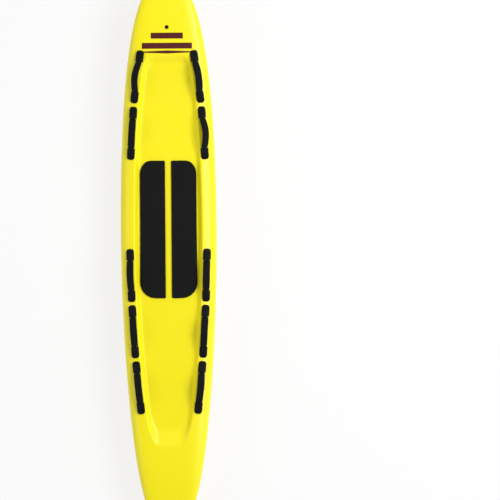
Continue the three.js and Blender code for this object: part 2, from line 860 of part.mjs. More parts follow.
function deckSkin() {
  const shell = solidOf(between(deckSheet(0), deckSheet(skinWall)));
  return geometryOf(drilled(shell, [...pockets, ventPocket]));
}

function bottomSkin() {
  const shell = solidOf(between(bottomSheet(skinWall), bottomSheet(0), true));
  return geometryOf(shell.subtract(inHull(boxCollar(fitGap))));
}

const board = new THREE.Group();
board.name = 'rescue_board';
const core = coreParts();
board.add(
  piece('foam_core_left', core.left, foam),
  piece('foam_core_right', core.right, foam),
  piece('stringer', core.stringer, timber),
  piece('deck_skin', deckSkin(), gelcoat),
  piece('bottom_skin', bottomSkin(), gelcoat),
  piece('knee_pad_left', kneePad(1), padFoam),
  piece('knee_pad_right', kneePad(-1), padFoam),
  ventGroup(),
  finGroup(),
  ...handles.map((handle) => handle.group),
);

export default board;
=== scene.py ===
# A prone rescue board: a glossy moulded hull with a rider's recess, foam knee pads, padded strap
# handles, a vent plug and a fin in a slot box. Lengths are in metres, the nose points along +X,
# port is +Y and the deck is up.

import json
import math
from contextlib import contextmanager
from functools import partial

import bmesh
import bpy
import numpy as np
from bpy.props import FloatProperty, FloatVectorProperty, PointerProperty
from mathutils import Matrix, Vector


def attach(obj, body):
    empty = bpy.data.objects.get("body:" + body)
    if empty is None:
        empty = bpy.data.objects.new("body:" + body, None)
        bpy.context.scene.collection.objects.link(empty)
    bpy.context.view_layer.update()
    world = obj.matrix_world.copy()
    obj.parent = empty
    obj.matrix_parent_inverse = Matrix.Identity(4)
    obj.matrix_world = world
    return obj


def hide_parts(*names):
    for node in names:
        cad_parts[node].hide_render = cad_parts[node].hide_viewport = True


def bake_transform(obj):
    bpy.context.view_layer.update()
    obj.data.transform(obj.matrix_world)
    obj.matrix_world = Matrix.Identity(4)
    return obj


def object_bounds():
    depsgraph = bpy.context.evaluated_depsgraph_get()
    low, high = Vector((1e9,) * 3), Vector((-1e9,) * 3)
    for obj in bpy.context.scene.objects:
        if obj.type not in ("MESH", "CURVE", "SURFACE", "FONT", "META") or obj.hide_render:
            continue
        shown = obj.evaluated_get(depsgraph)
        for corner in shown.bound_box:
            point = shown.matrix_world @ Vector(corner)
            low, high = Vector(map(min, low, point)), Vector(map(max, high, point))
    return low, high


bl_info = {
    "name": "Rescue Board",
    "version": (1, 0, 0),
    "blender": (4, 5, 0),
    "location": "3D View > Sidebar > Rescue Board",
    "description": "Finished surfaces for a prone rescue board, built round its packed solids",
    "category": "Add Mesh",
}

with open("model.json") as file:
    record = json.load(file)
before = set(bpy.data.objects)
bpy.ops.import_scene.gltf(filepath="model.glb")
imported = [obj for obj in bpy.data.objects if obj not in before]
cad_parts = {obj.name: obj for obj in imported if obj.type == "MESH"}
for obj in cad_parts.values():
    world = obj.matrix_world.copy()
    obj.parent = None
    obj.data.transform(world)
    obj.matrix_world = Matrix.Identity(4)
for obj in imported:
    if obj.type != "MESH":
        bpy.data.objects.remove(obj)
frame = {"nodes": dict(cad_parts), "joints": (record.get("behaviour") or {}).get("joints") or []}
cad_low, cad_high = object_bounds()

MM = 0.001
TOUCHING = 1e-6
WHITE = "#FFFFFF"

# Places along the hull, as shares of its length from the middle
WIDEST_SHARE = 0.0375
NOSE_ROCKER_SHARE = 0.1094
TAIL_ROCKER_SHARE = -0.1406
RECESS_FRONT_SHARE = 0.366
RECESS_BACK_SHARE = -0.347
PAD_MIDDLE_SHARE = 0.0494
SLOT_MIDDLE_SHARE = -0.2147

# How full and how round the hull's curves are
NOSE_OUTLINE = (2.3, 2.8)
TAIL_OUTLINE = (1.75, 2.75)
NOSE_LIFT = 2.2
TAIL_LIFT = 2
TAPER = (3, 0.6)
RAIL_SHARE = 0.42
DECK_ARCH = (7, 2.6)
BILGE_ARCH = (2.4, 2)
FLAT_SHARE = 0.6
INSET_GROWTH_SHARE = 0.25
NARROWEST = 1e-9

# Holes in the shells: the vent's radius, and half the length and width of the fin box's opening and
# of its drop-in notch
VENT_HOLE = 8.6 * MM
BOX_OPENING = (136.3 * MM, 7.6 * MM)
BOX_NOTCH = (9.3 * MM, 10.6 * MM)

# Plain coloured bars, each by its middle along the board, its half length, its half width and its
# taper
DECK_BARS = [(1.279, 0.017, 0.093, 0), (1.221, 0.017, 0.145, 0), (1.185, 0.009, 0.136, 0.6)]
BOTTOM_BAR_PLACES = [1.273 - 0.157 * i for i in range(4)] + [0.538 - 0.183 * i for i in range(6)]
BOTTOM_BARS = [(middle, 0.038, 0.11, 0) for middle in BOTTOM_BAR_PLACES]


def linear(code):
    """An sRGB hex colour as linear values."""
    channels = [int(code[i:i + 2], 16) / 255 for i in (1, 3, 5)]
    return tuple(c / 12.92 if c <= 0.04045 else ((c + 0.055) / 1.055) ** 2.4 for c in channels)


def distance(name, description, default):
    """A length that a user may change."""
    return FloatProperty(
        name=name, description=description, default=default, min=0, unit="LENGTH",
        subtype="DISTANCE",
    )


def colour(name, description, code):
    """A colour that a user may change."""
    return FloatVectorProperty(
        name=name, description=description, default=linear(code), size=3, min=0, max=1,
        subtype="COLOR",
    )


class HullSizes(bpy.types.PropertyGroup):
    """Sizes of the moulded hull and its knee pads."""

    length: distance("Length", "From nose to tail", cad_high.x - cad_low.x)
    width: distance("Width", "Across the widest place", 0.56)
    thickness: distance("Thickness", "From the bottom to the deck at mid-length", 0.15)
    nose_rocker: distance("Nose rocker", "How far the bottom rises to the nose", 0.18)
    tail_rocker: distance("Tail rocker", "How far the bottom rises to the tail", 0.06)
    skin: distance("Skin", "Thickness of the laminate", 0.004)
    seam: distance("Seam", "Gap along the rail between the two shells", 0.0003)
    recess_depth: distance("Recess depth", "How deep the rider lies in the deck", 0.034)
    recess_wall: distance("Recess wall", "Width of the sloping wall at the sides", 0.03)
    recess_side_run: distance("Recess side run", "Reach of the recess's rounded sides", 0.054)
    recess_front_run: distance("Recess front run", "Reach of the recess's front end", 0.09)
    recess_back_run: distance("Recess back run", "Reach of the recess's back end", 0.21)
    pad_length: distance("Pad length", "Length of a knee pad", 0.8)
    pad_inner: distance("Pad inner edge", "From the centreline to a pad", 0.018)
    pad_outer: distance("Pad outer edge", "From the centreline to a pad's outer edge", 0.164)


class HandleSizes(bpy.types.PropertyGroup):
    """Sizes that the ten handles share."""

    length: distance("Length", "Over both end caps", 0.308)
    inset: distance("Inset", "From the rail to the handle at the widest place", 0.056)
    cap_length: distance("Cap length", "Length of an end cap", 0.065)
    cap_width: distance("Cap width", "Width of an end cap", 0.044)
    cap_height: distance("Cap height", "Height of a cap at its mouth", 0.024)
    strap_width: distance("Strap width", "Width of the webbing", 0.025)
    strap_thickness: distance("Strap thickness", "Thickness of the webbing", 0.0022)
    exit_height: distance("Exit height", "Height of the strap where it leaves the cap", 0.017)
    tab_height: distance("Tab height", "Height of the strap inside the cap", 0.007)
    rise: distance("Rise", "How high the strap arches above its caps' mouths", 0.032)
    sleeve_width: distance("Sleeve width", "Width of the padded sleeve", 0.041)
    sleeve_thickness: distance("Sleeve thickness", "Thickness of the padded sleeve", 0.015)
    sleeve_gap: distance(
        "Sleeve gap", "From a cap's mouth to where the sleeve lies over in full", 0.006,
    )


class FinishColours(bpy.types.PropertyGroup):
    """Colours of the finishes."""

    gelcoat: colour("Gelcoat", "Yellow of the deck and the rails", "#FCED08")
    bottom: colour("Bottom gelcoat", "Yellow of the bottom", "#FCD810")
    deck_bar: colour("Deck bars", "Dark red of the bars on the deck", "#520A0C")
    bottom_bar: colour("Bottom bars", "Red of the bars on the bottom", "#CF1A22")
    pad: colour("Knee pad", "Black of the pad foam", "#090C0B")
    sleeve: colour("Sleeve", "Black of the sleeves' cloth", "#0C0F11")
    webbing: colour("Webbing", "Black of the straps", "#0E1012")
    cap: colour("Caps", "Black of the moulded caps", "#050708")
    plastic: colour("Fittings", "Black of the vent, the box and the fin", "#101214")
    steel: colour("Steel", "Tint of the fin's fasteners", "#C7CACC")


class HullShape:
    """Heights and widths of the hull at any place, worked out from its sizes."""

    def __init__(self, context):
        self.sizes = context.scene.rescue_hull
        self.handles = context.scene.rescue_handles
        length = self.sizes.length
        self.half = length / 2
        self.widest = length * WIDEST_SHARE
        self.nose_start = length * NOSE_ROCKER_SHARE
        self.tail_start = length * TAIL_ROCKER_SHARE
        self.front = length * RECESS_FRONT_SHARE
        self.back = length * RECESS_BACK_SHARE
        self.slot_middle = length * SLOT_MIDDLE_SHARE

    def half_width(self, x):
        ahead = x >= self.widest
        run = np.where(ahead, self.half - self.widest, self.half + self.widest)
        fullness, roundness = (
            np.where(ahead, nose, tail) for nose, tail in zip(NOSE_OUTLINE, TAIL_OUTLINE)
        )
        share = np.clip(np.abs(x - self.widest) / run, 0, 1)
        return self.sizes.width / 2 * (1 - share ** fullness) ** (1 / roundness)

    def rocker(self, x):
        nose = np.clip((x - self.nose_start) / (self.half - self.nose_start), 0, 1)
        tail = np.clip((self.tail_start - x) / (self.tail_start + self.half), 0, 1)
        sizes = self.sizes
        return sizes.nose_rocker * nose ** NOSE_LIFT + sizes.tail_rocker * tail ** TAIL_LIFT

    def thickness(self, x):
        share = np.clip(np.abs(x) / self.half, 0, 1)
        return self.sizes.thickness * (1 - share ** TAPER[0]) ** TAPER[1]

    def below_rail(self, x):
        return RAIL_SHARE * self.thickness(x)

    def above_rail(self, x):
        return (1 - RAIL_SHARE) * self.thickness(x)

    def rail(self, x):
        return self.rocker(x) + self.below_rail(x)

    def handle_inset(self, x):
        narrowing = self.sizes.width / 2 - self.half_width(x)
        return self.handles.inset + INSET_GROWTH_SHARE * narrowing

    def recess_top(self, x):
        width = self.half_width(x)
        return np.maximum(width - self.handle_inset(x) - self.handles.cap_width / 2 - MM, width / 2)

    def recess_foot(self, x):
        top = self.recess_top(x)
        return np.maximum(top - self.sizes.recess_wall, top / 2)

    def recess_drop(self, x, y):
        sizes = self.sizes
        ahead = (x - self.front + sizes.recess_front_run) / sizes.recess_front_run
        behind = (self.back + sizes.recess_back_run - x) / sizes.recess_back_run
        aside = (np.abs(y) - self.recess_top(x)) / sizes.recess_side_run + 1
        reach = np.hypot(np.maximum(0, np.maximum(ahead, behind)), np.maximum(0, aside))
        climb = np.clip((1 - reach) * sizes.recess_side_run / sizes.recess_wall, 0, 1)
        return sizes.recess_depth * climb * climb * (3 - 2 * climb)

    def deck(self, x, y):
        share = np.clip(np.abs(y) / np.maximum(self.half_width(x), NARROWEST), 0, 1)
        arch = (1 - share ** DECK_ARCH[0]) ** (1 / DECK_ARCH[1])
        crown = self.rail(x) + self.sizes.seam + self.above_rail(x) * arch
        return crown - self.recess_drop(x, y)

    def bottom(self, x, y):
        across = np.abs(y) / np.maximum(self.half_width(x), NARROWEST)
        share = np.clip((across - FLAT_SHARE) / (1 - FLAT_SHARE), 0, 1)
        arch = (1 - share ** BILGE_ARCH[0]) ** (1 / BILGE_ARCH[1])
        return self.rail(x) - self.below_rail(x) * arch


# Meshes

def new_object(name, data):
    """An object that holds some data, linked to the scene."""
    obj = bpy.data.objects.new(name, data)
    bpy.context.scene.collection.objects.link(obj)
    return obj


def new_mesh(name, points, faces):
    """A mesh of its points and its faces."""
    mesh = bpy.data.meshes.new(name)
    mesh.from_pydata(np.reshape(points, (-1, 3)).tolist(), [], faces)
    return mesh


def place_matrix(start, along, across, up):
    """The place of a frame, by its start and its three axes."""
    return Matrix.Translation(start) @ Matrix((along, across, up)).transposed().to_4x4()


@contextmanager
def edited(mesh):
    """Opens a mesh for editing, with its doubled points joined, and writes it back."""
    work = bmesh.new()
    work.from_mesh(mesh)
    bmesh.ops.remove_doubles(work, verts=work.verts, dist=TOUCHING)
    yield work
    work.to_mesh(mesh)
    work.free()


def lattice_faces(rows, columns, around=False):
    """Quads between the points of a lattice, joined round its columns where asked."""
    faces = []
    for i in range(rows - 1):
        here, ahead = i * columns, (i + 1) * columns
        for j in range(columns if around else columns - 1):
            k = (j + 1) % columns
            faces.append((here + j, here + k, ahead + k, ahead + j))
    return faces


def tidy_mesh(mesh, angle):
    """Joins doubled points, turns the faces outward and keeps edges over an angle crisp."""
    with edited(mesh) as work:
        bmesh.ops.recalc_face_normals(work, faces=work.faces)
    mesh.shade_smooth()
    mesh.set_sharp_from_angle(angle=math.radians(angle))
    return mesh


def piece(mesh, material, body, replaced=None):
    """Puts a finished mesh in the scene as a piece of the board, under its own name. With no body,
    the caller says what it rides on."""
    obj = new_object(mesh.name, mesh)
    mesh.materials.clear()
    mesh.materials.append(material)
    if body:
        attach(obj, body)
    if replaced:
        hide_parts(replaced)
    return obj


def running_length(steps):
    """How far along a line each of its points lies, from the steps between them."""
    return np.concatenate([[0], np.cumsum(np.linalg.norm(steps, axis=1))])


def loft_mesh(name, rings, angle):
    """A closed mesh through rings of equal count, with a map in metres along and around it."""
    rings = np.asarray(rings, float)
    count, around = rings.shape[:2]
    along = running_length(np.diff(rings.mean(axis=1), axis=0))
    middle = rings[count // 2]
    girth = running_length(np.roll(middle, -1, axis=0) - middle)
    faces = lattice_faces(count, around, True)
    spots = [
        (along[a], girth[b]) for i in range(count - 1) for j in range(around)
        for a, b in ((i, j), (i, j + 1), (i + 1, j + 1), (i + 1, j))
    ]
    for i in (0, count - 1):
        faces.append(tuple(range(i * around, (i + 1) * around)))
        spots += [(along[i], place) for place in girth[:-1]]
    mesh = new_mesh(name, rings, faces)
    layer = mesh.uv_layers.new(name="metres")
    layer.data.foreach_set("uv", np.array(spots, np.float32).ravel())
    return tidy_mesh(mesh, angle)


def turned_mesh(name, profile, sides, place, angle):
    """A mesh turned round the Z axis of a place from a closed profile of radius and height."""
    turns = np.linspace(0, 2 * math.pi, sides, endpoint=False)
    points = [(r * math.cos(t), r * math.sin(t), z) for t in turns for r, z in profile]
    count = len(profile)
    faces = []
    for i in range(sides):
        here, ahead = i * count, (i + 1) % sides * count
        for j in range(count):
            k = (j + 1) % count
            if profile[j][0] or profile[k][0]:
                faces.append((here + j, ahead + j, ahead + k, here + k))
    mesh = new_mesh(name, points, faces)
    mesh.transform(place)
    return tidy_mesh(mesh, angle)


def evaluated_mesh(obj):
    """The mesh of an object with its modifiers applied. The object and its own mesh go."""
    graph = bpy.context.evaluated_depsgraph_get()
    mesh = bpy.data.meshes.new_from_object(obj.evaluated_get(graph))
    name, plain = obj.name, obj.data
    bpy.data.objects.remove(obj)
    bpy.data.meshes.remove(plain)
    mesh.name = name
    return mesh


def merged_copy(node):
    """A copy of a solid's mesh with its flats merged."""
    mesh = frame["nodes"][node].data.copy()
    with edited(mesh) as work:
        bmesh.ops.dissolve_limit(
            work, angle_limit=math.radians(2), verts=work.verts, edges=work.edges,
        )
    return mesh


def rounded_mesh(name, mesh, radius, angle):
    """A mesh with its edges over an angle rounded."""
    obj = new_object(name, mesh)
    bevel = obj.modifiers.new("rounding", "BEVEL")
    bevel.width = radius
    bevel.segments = 2
    bevel.limit_method = "ANGLE"
    bevel.angle_limit = math.radians(angle)
    return tidy_mesh(evaluated_mesh(obj), 50)


def cut_mesh(mesh, tool):
    """A mesh with the volume of a bmesh taken out of it."""
    tool_mesh = bpy.data.meshes.new("tool")
    tool.to_mesh(tool_mesh)
    tool.free()
    obj, cutter = new_object(mesh.name, mesh), new_object("tool", tool_mesh)
    cut = obj.modifiers.new("cut", "BOOLEAN")
    cut.operation = "DIFFERENCE"
    cut.object = cutter
    cut.solver = "EXACT"
    result = evaluated_mesh(obj)
    bpy.data.objects.remove(cutter)
    bpy.data.meshes.remove(tool_mesh)
    return result


def even(count):
    """Equal shares after 0, up to 1."""
    return np.linspace(0, 1, count + 1)[1:]


def eased(count, power):
    """Shares after 0 that crowd towards 1."""
    return 1 - (1 - even(count)) ** power


def oval(value, power):
    """A sine or cosine raised to a power, with its sign kept, which squares up an oval."""
    return math.copysign(abs(value) ** power, value)


# Materials

def add_node(tree, kind, settings=None):
    """One shader node. A setting is a value, or the node or socket that feeds it."""
    node = tree.nodes.new("ShaderNode" + kind)
    for key, value in (settings or {}).items():
        if isinstance(value, bpy.types.Node):
            value = value.outputs[0]
        if isinstance(value, bpy.types.NodeSocket):
            tree.links.new(value, node.inputs[key])
        elif isinstance(key, str) and hasattr(node, key):
            setattr(node, key, value)
        else:
            node.inputs[key].default_value = value
    return node


def empty_tree(owner):
    """Empties the node tree of a material or a world and gives what adds a node to it."""
    owner.use_nodes = True
    owner.node_tree.nodes.clear()
    return partial(add_node, owner.node_tree)


def new_material(name, space="Object"):
    """A material, what adds a node to it and the coordinates of a space."""
    material = bpy.data.materials.new(name)
    node = empty_tree(material)
    return material, node, node("TexCoord").outputs[space]


def finished(material, node, height, strength, depth, settings):
    """Gives a material its relief, which follows a height, its shader and its output."""
    relief = node("Bump", {"Height": height, "Strength": strength, "Distance": depth})
    shader = node("BsdfPrincipled", {"Normal": relief, **settings})
    node("OutputMaterial", {"Surface": shader})
    return material


def drifting(node, noise, base, spread):
    """A colour that drifts between a darker and a lighter shade with a noise."""
    dark, pale = ((*(min(1, c * level) for c in base), 1) for level in (1 - spread, 1 + spread))
    return node("Mix", {"data_type": "RGBA", 0: noise, 6: dark, 7: pale}).outputs[2]


def gelcoat(name, base, bars, bar_colour, polished, scuffed):
    """Pigmented polyester gelcoat out of a polished mould, with its bars under the same gloss."""
    # The eye gets a deep wet gloss whose reflections waver a little, with fine hazy scuffs.
    material, node, where = new_material(name)
    # The shade drifts over about half a metre
    drift = node("TexNoise", {"Scale": 2.2, "Detail": 1, "Vector": where})
    x, y, _ = node("SeparateXYZ", {"Vector": where}).outputs
    aside = node("Math", {"operation": "ABSOLUTE", 0: y})
    covered = 0
    for middle, half_length, half_width, taper in bars:
        narrowing = -taper * half_length / half_width
        room = node("Math", {"operation": "MULTIPLY_ADD", 0: aside, 1: narrowing, 2: half_length})
        along = node("Math", {"operation": "COMPARE", 0: x, 1: middle, 2: room})
        across = node("Math", {"operation": "COMPARE", 0: y, 1: 0, 2: half_width})
        bar = node("Math", {"operation": "MULTIPLY", 0: along, 1: across})
        covered = node("Math", {"operation": "MAXIMUM", 0: covered, 1: bar})
    marked = node("Mix", {
        "data_type": "RGBA", 0: covered, 6: drifting(node, drift, base, 0.035), 7: (*bar_colour, 1),
    })
    # Scuffs about 110 mm long and 7 mm apart, in patches of about 140 mm
    streaks = node("Mapping", {"Scale": (9, 140, 140), "Vector": where})
    scuffs = node("TexNoise", {"Scale": 1, "Detail": 3, "Roughness": 0.55, "Vector": streaks})
    patches = node("TexNoise", {"Scale": 7, "Detail": 4, "Vector": where})
    worn = node("Math", {"operation": "MULTIPLY", 0: scuffs, 1: patches})
    haze = node("MapRange", {
        "From Min": 0.15, "From Max": 0.45, "To Min": polished, "To Max": scuffed, "Value": worn,
    })
    # The mould's own long waves, about 90 mm apart and a twentieth of a millimetre high
    waves = node("TexNoise", {"Scale": 11, "Detail": 0, "Vector": where})
    return finished(material, node, waves, 0.25, MM, {
        "Base Color": marked.outputs[2], "Roughness": haze, "IOR": 1.5,
    })


def pad_foam(base):
    """Closed-cell EVA foam, embossed and cut with a bevelled edge."""
    # The eye gets a dead matt black with a fine dimpled grain that catches a little dust.
    material, node, where = new_material("eva_foam")
    dust = node("TexNoise", {"Scale": 14, "Detail": 5, "Roughness": 0.65, "Vector": where})
    # Dimples 6 mm apart, three times the real spacing so that they show
    dimples = node("TexVoronoi", {"Scale": 170, "Vector": where})
    # The foam's own cells, about 0.7 mm across
    cells = node("TexNoise", {"Scale": 1400, "Detail": 2, "Vector": where})
    height = node("Math", {"operation": "MULTIPLY_ADD", 0: cells, 1: 0.3, 2: dimples})
    return finished(material, node, height, 0.8, 1.6 * MM, {
        "Base Color": drifting(node, dust, base, 0.35), "Roughness": 0.74,
        "Specular IOR Level": 0.18,
    })


def woven(name, base, rib, lean, roughness, sheen):
    """A cloth or thread whose ribs run aslant, by the mesh's map in metres."""
    material, node, spot = new_material(name, "UV")
    turned = node("Mapping", {"Rotation": (0, 0, math.radians(lean)), "Vector": spot})
    split = node("SeparateXYZ", {"Vector": turned})
    weave = 1
    for axis, spacing in (("X", rib), ("Y", rib * 1.4)):
        turns = 2 * math.pi / spacing
        angle = node("Math", {"operation": "MULTIPLY", 0: split.outputs[axis], 1: turns})
        wave = node("Math", {"operation": "SINE", 0: angle})
        weave = node("Math", {"operation": "MULTIPLY", 0: weave, 1: wave})
    # Loose fibres about 1 mm apart
    fuzz = node("TexNoise", {"Scale": 900, "Detail": 3, "Vector": spot})
    height = node("Math", {"operation": "MULTIPLY_ADD", 0: weave, 1: 0.5, 2: fuzz})
    return finished(material, node, height, 0.5, 0.6 * MM, {
        "Base Color": drifting(node, height, base, 0.3), "Roughness": roughness,
        "Specular IOR Level": 0.16, "Sheen Weight": sheen, "Sheen Roughness": 0.45,
    })


def sleeve_cloth(base):
    """Nylon jersey bonded to neoprene."""
    # The eye gets a soft black with a fine slanted knit and a faint bloom at its edges.
    return woven("nylon_faced_neoprene", base, 1.6 * MM, 45, 0.82, 0.02)


def strap_cloth(base):
    """Polyester webbing in a tight weave."""
    # The eye gets crisp slanted ribs with a slight shine.
    return woven("polyester_webbing", base, 2.2 * MM, 30, 0.65, 0.02)


def seam_thread():
    """Bonded nylon thread, laid in strands."""
    # The eye gets a charcoal a little lighter than the cloth. The twist of the strands is too fine
    # to show, so the stitches carry no map for it.
    return woven("bonded_nylon_thread", linear("#24282C"), 0.5 * MM, 35, 0.5, 0)


def moulded(name, base, roughness, grain):
    """A black plastic or rubber out of a spark-eroded mould."""
    # The eye gets an even satin with a pebbled grain, rubbed a little smoother in places.
    material, node, where = new_material(name)
    pebbles = node("TexNoise", {"Scale": 1 / grain, "Detail": 3, "Roughness": 0.6, "Vector": where})
    # Rubbed patches of about 40 mm
    rubbed = node("TexNoise", {"Scale": 24, "Detail": 3, "Vector": where})
    gloss = node("MapRange", {
        "From Min": 0.3, "From Max": 0.7, "To Min": roughness - 0.08, "To Max": roughness + 0.08,
        "Value": rubbed,
    })
    return finished(material, node, pebbles, 0.35, 0.3 * MM, {
        "Base Color": drifting(node, rubbed, base, 0.2), "Roughness": gloss, "IOR": 1.5,
        "Specular IOR Level": 0.18,
    })


def stainless(base):
    """Turned and passivated stainless steel."""
    # The eye gets a bright grey with a fine grain of 0.4 mm left by turning.
    material, node, where = new_material("stainless_steel")
    grain = node("TexNoise", {"Scale": 2600, "Detail": 2, "Vector": where})
    gloss = node("MapRange", {"To Min": 0.2, "To Max": 0.36, "Value": grain})
    return finished(material, node, grain, 0.15, 0.1 * MM, {
        "Base Color": (*base, 1), "Metallic": 1, "Roughness": gloss,
    })


def bead_foam():
    """Expanded polystyrene, cut with a hot wire."""
    # The eye gets an off-white of pressed beads about 4 mm across.
    material, node, where = new_material("bead_foam")
    beads = node("TexVoronoi", {"Scale": 1 / (4 * MM), "Vector": where})
    return finished(material, node, beads, 0.4, 0.5 * MM, {
        "Base Color": drifting(node, beads, linear("#EFEBDD"), 0.08), "Roughness": 0.9,
    })


def cedar():
    """Cedar planed for the stringer."""
    # The eye gets a warm brown with long grain about 3 mm apart.
    material, node, where = new_material("planed_cedar")
    long = node("Mapping", {"Scale": (6, 330, 330), "Vector": where})
    grain = node("TexNoise", {"Scale": 1, "Detail": 4, "Distortion": 0.4, "Vector": long})
    return finished(material, node, grain, 0.2, 0.4 * MM, {
        "Base Color": drifting(node, grain, linear("#B9804A"), 0.3), "Roughness": 0.6,
    })


def floor_paper():
    """Matt white background paper."""
    # The eye gets an even white that keeps a faint shadow. What looks at it directly, in a mirror
    # or through glass sees it mostly as plain white.
    material, node, where = new_material("studio_paper")
    fibre = node("TexNoise", {"Scale": 300, "Detail": 2, "Vector": where})
    bump = node("Bump", {"Height": fibre, "Strength": 0.05, "Distance": 0.5 * MM})
    paper = node("BsdfPrincipled", {
        "Base Color": (*linear("#F3F3F3"), 1), "Roughness": 0.95, "Normal": bump,
    })
    rays = node("LightPath").outputs
    seen = rays["Is Camera Ray"]
    for kind in ("Is Glossy Ray", "Is Transmission Ray"):
        seen = node("Math", {"operation": "MAXIMUM", 0: seen, 1: rays[kind]})
    share = node("Math", {"operation": "MULTIPLY", 0: seen, 1: 0.8})
    white = node("Emission", {"Color": (*linear(WHITE), 1), "Strength": 1})
    both = node("MixShader", {0: share, 1: paper, 2: white})
    node("OutputMaterial", {"Surface": both})
    return material


# Hull

def hull_rows(shape):
    """Places along the hull, closest at its tips and at the ends of the recess."""
    sizes = shape.sizes
    tail_run, nose_run = shape.half + shape.back, shape.half - shape.front
    tip_rows, back_rows, middle_rows, front_rows = 40, 22, 92, 20
    tips = np.linspace(0, 1, tip_rows) ** 2.4
    back_foot = shape.back + sizes.recess_back_run
    front_foot = shape.front - sizes.recess_front_run
    rows = np.concatenate([
        -shape.half + tail_run * tips,
        np.linspace(shape.back, back_foot, back_rows),
        np.linspace(back_foot, front_foot, middle_rows),
        np.linspace(front_foot, shape.front, front_rows),
        shape.half - nose_run * tips,
    ])
    # Four rows lie at the ends of the fin box's opening and of its notch, with no others close by
    reaches = np.array([-BOX_OPENING[0], -BOX_NOTCH[0], BOX_NOTCH[0], BOX_OPENING[0]])
    cuts = shape.slot_middle + reaches
    clear = np.min(np.abs(rows[:, None] - cuts), axis=1) > 2 * MM
    return np.unique(np.round(np.concatenate([rows[clear], cuts]), 7))


def shell_mesh(name, shape, columns, height, depth):
    """One laminated shell of the hull: an outer and an inner sheet, closed along the rail and at
    both tips."""
    skin = shape.sizes.skin
    rows = hull_rows(shape)
    blunt = rows[shape.half_width(rows) > 3 * skin]
    outer, inner = [], []
    for row in rows:
        for x, sheet in ((row, outer), (np.clip(row, blunt[0], blunt[-1]), inner)):
            width = float(shape.half_width(x))
            across = columns(shape, x, width)
            y = np.concatenate([-across[::-1], [0], across])
            along = np.full_like(y, x)
            z = height(along, y)
            if sheet is inner:
                z = z + (shape.rail(x) - z) * min(1, skin / abs(depth(x)))
                y = np.clip(y, skin - width, width - skin)
            sheet.append(np.column_stack([along, y, z]))
    points = np.array([outer, inner])
    size = points.shape[1:3]
    sheet = size[0] * size[1]
    faces = lattice_faces(*size)
    faces += [tuple(n + sheet for n in face[::-1]) for face in faces]
    places = np.arange(sheet).reshape(size)
    for rim in (places[:, 0], places[:, -1], places[0], places[-1]):
        rim = rim.tolist()
        faces += [(a, b, b + sheet, a + sheet) for a, b in zip(rim, rim[1:])]
    return tidy_mesh(new_mesh(name, points, faces), 50)


def deck_columns(shape, x, width):
    """Places across the deck: the recess floor, its wall and the rail."""
    floor_count, wall_count, rail_count = 8, 12, 23
    top, foot = float(shape.recess_top(x)), float(shape.recess_foot(x))
    wall = foot + (top - foot) * even(wall_count)
    rail = top + (width - top) * eased(rail_count, 2.4)
    return np.concatenate([foot * even(floor_count), wall, rail])


def bottom_columns(shape, x, width):
    """Places across the bottom: beside the fin box, the flat and the bilge."""
    flat_count, bilge_count = 5, 19
    flat = width * FLAT_SHARE
    # Near the tips, where the bottom is narrow, the two beside the box draw in
    beside = np.minimum([BOX_OPENING[1], BOX_NOTCH[1]], width * np.array([0.1, 0.14]))
    level = beside[1] + (flat - beside[1]) * even(flat_count)
    return np.concatenate([beside, level, flat + (width - flat) * eased(bilge_count, 2.2)])


def open_box_slot(mesh, shape):
    """Takes the fin box's opening out of both sheets of the bottom and joins their rims."""
    with edited(mesh) as work:
        inside = []
        for face in work.faces:
            middle = face.calc_center_median()
            along, aside = abs(middle.x - shape.slot_middle), abs(middle.y)
            if any(along < hole[0] and aside < hole[1] for hole in (BOX_OPENING, BOX_NOTCH)):
                inside.append(face)
        bmesh.ops.delete(work, geom=inside, context="FACES")
        bmesh.ops.bridge_loops(work, edges=[e for e in work.edges if e.is_boundary])
    return tidy_mesh(mesh, 50)


def bored(mesh, place, radius):
    """A mesh with a round hole through it along the Z axis of a place."""
    drill = bmesh.new()
    bmesh.ops.create_cone(
        drill, cap_ends=True, segments=64, radius1=radius, radius2=radius, depth=60 * MM,
        matrix=place,
    )
    return tidy_mesh(cut_mesh(mesh, drill), 50)


class RESCUEBOARD_OT_hull(bpy.types.Operator):
    """Lay up the deck shell and the bottom shell"""

    bl_idname = "rescue_board.hull"
    bl_label = "Hull Shells"

    def execute(self, context):
        shape = HullShape(context)
        colours = context.scene.rescue_colours
        deck = shell_mesh("deck_shell", shape, deck_columns, shape.deck, shape.above_rail)
        deck = bored(deck, joint_place("vent_screw_turn"), VENT_HOLE)
        glossy = gelcoat(
            "yellow_gelcoat_deck", colours.gelcoat, DECK_BARS, colours.deck_bar,
            polished=0.34, scuffed=0.4,
        )
        piece(deck, glossy, "board", "deck_skin")
        bottom = shell_mesh("bottom_shell", shape, bottom_columns, shape.bottom, shape.below_rail)
        under = gelcoat(
            "yellow_gelcoat_bottom", colours.bottom, BOTTOM_BARS, colours.bottom_bar,
            polished=0.07, scuffed=0.14,
        )
        piece(open_box_slot(bottom, shape), under, "board", "bottom_skin")
        return {"FINISHED"}


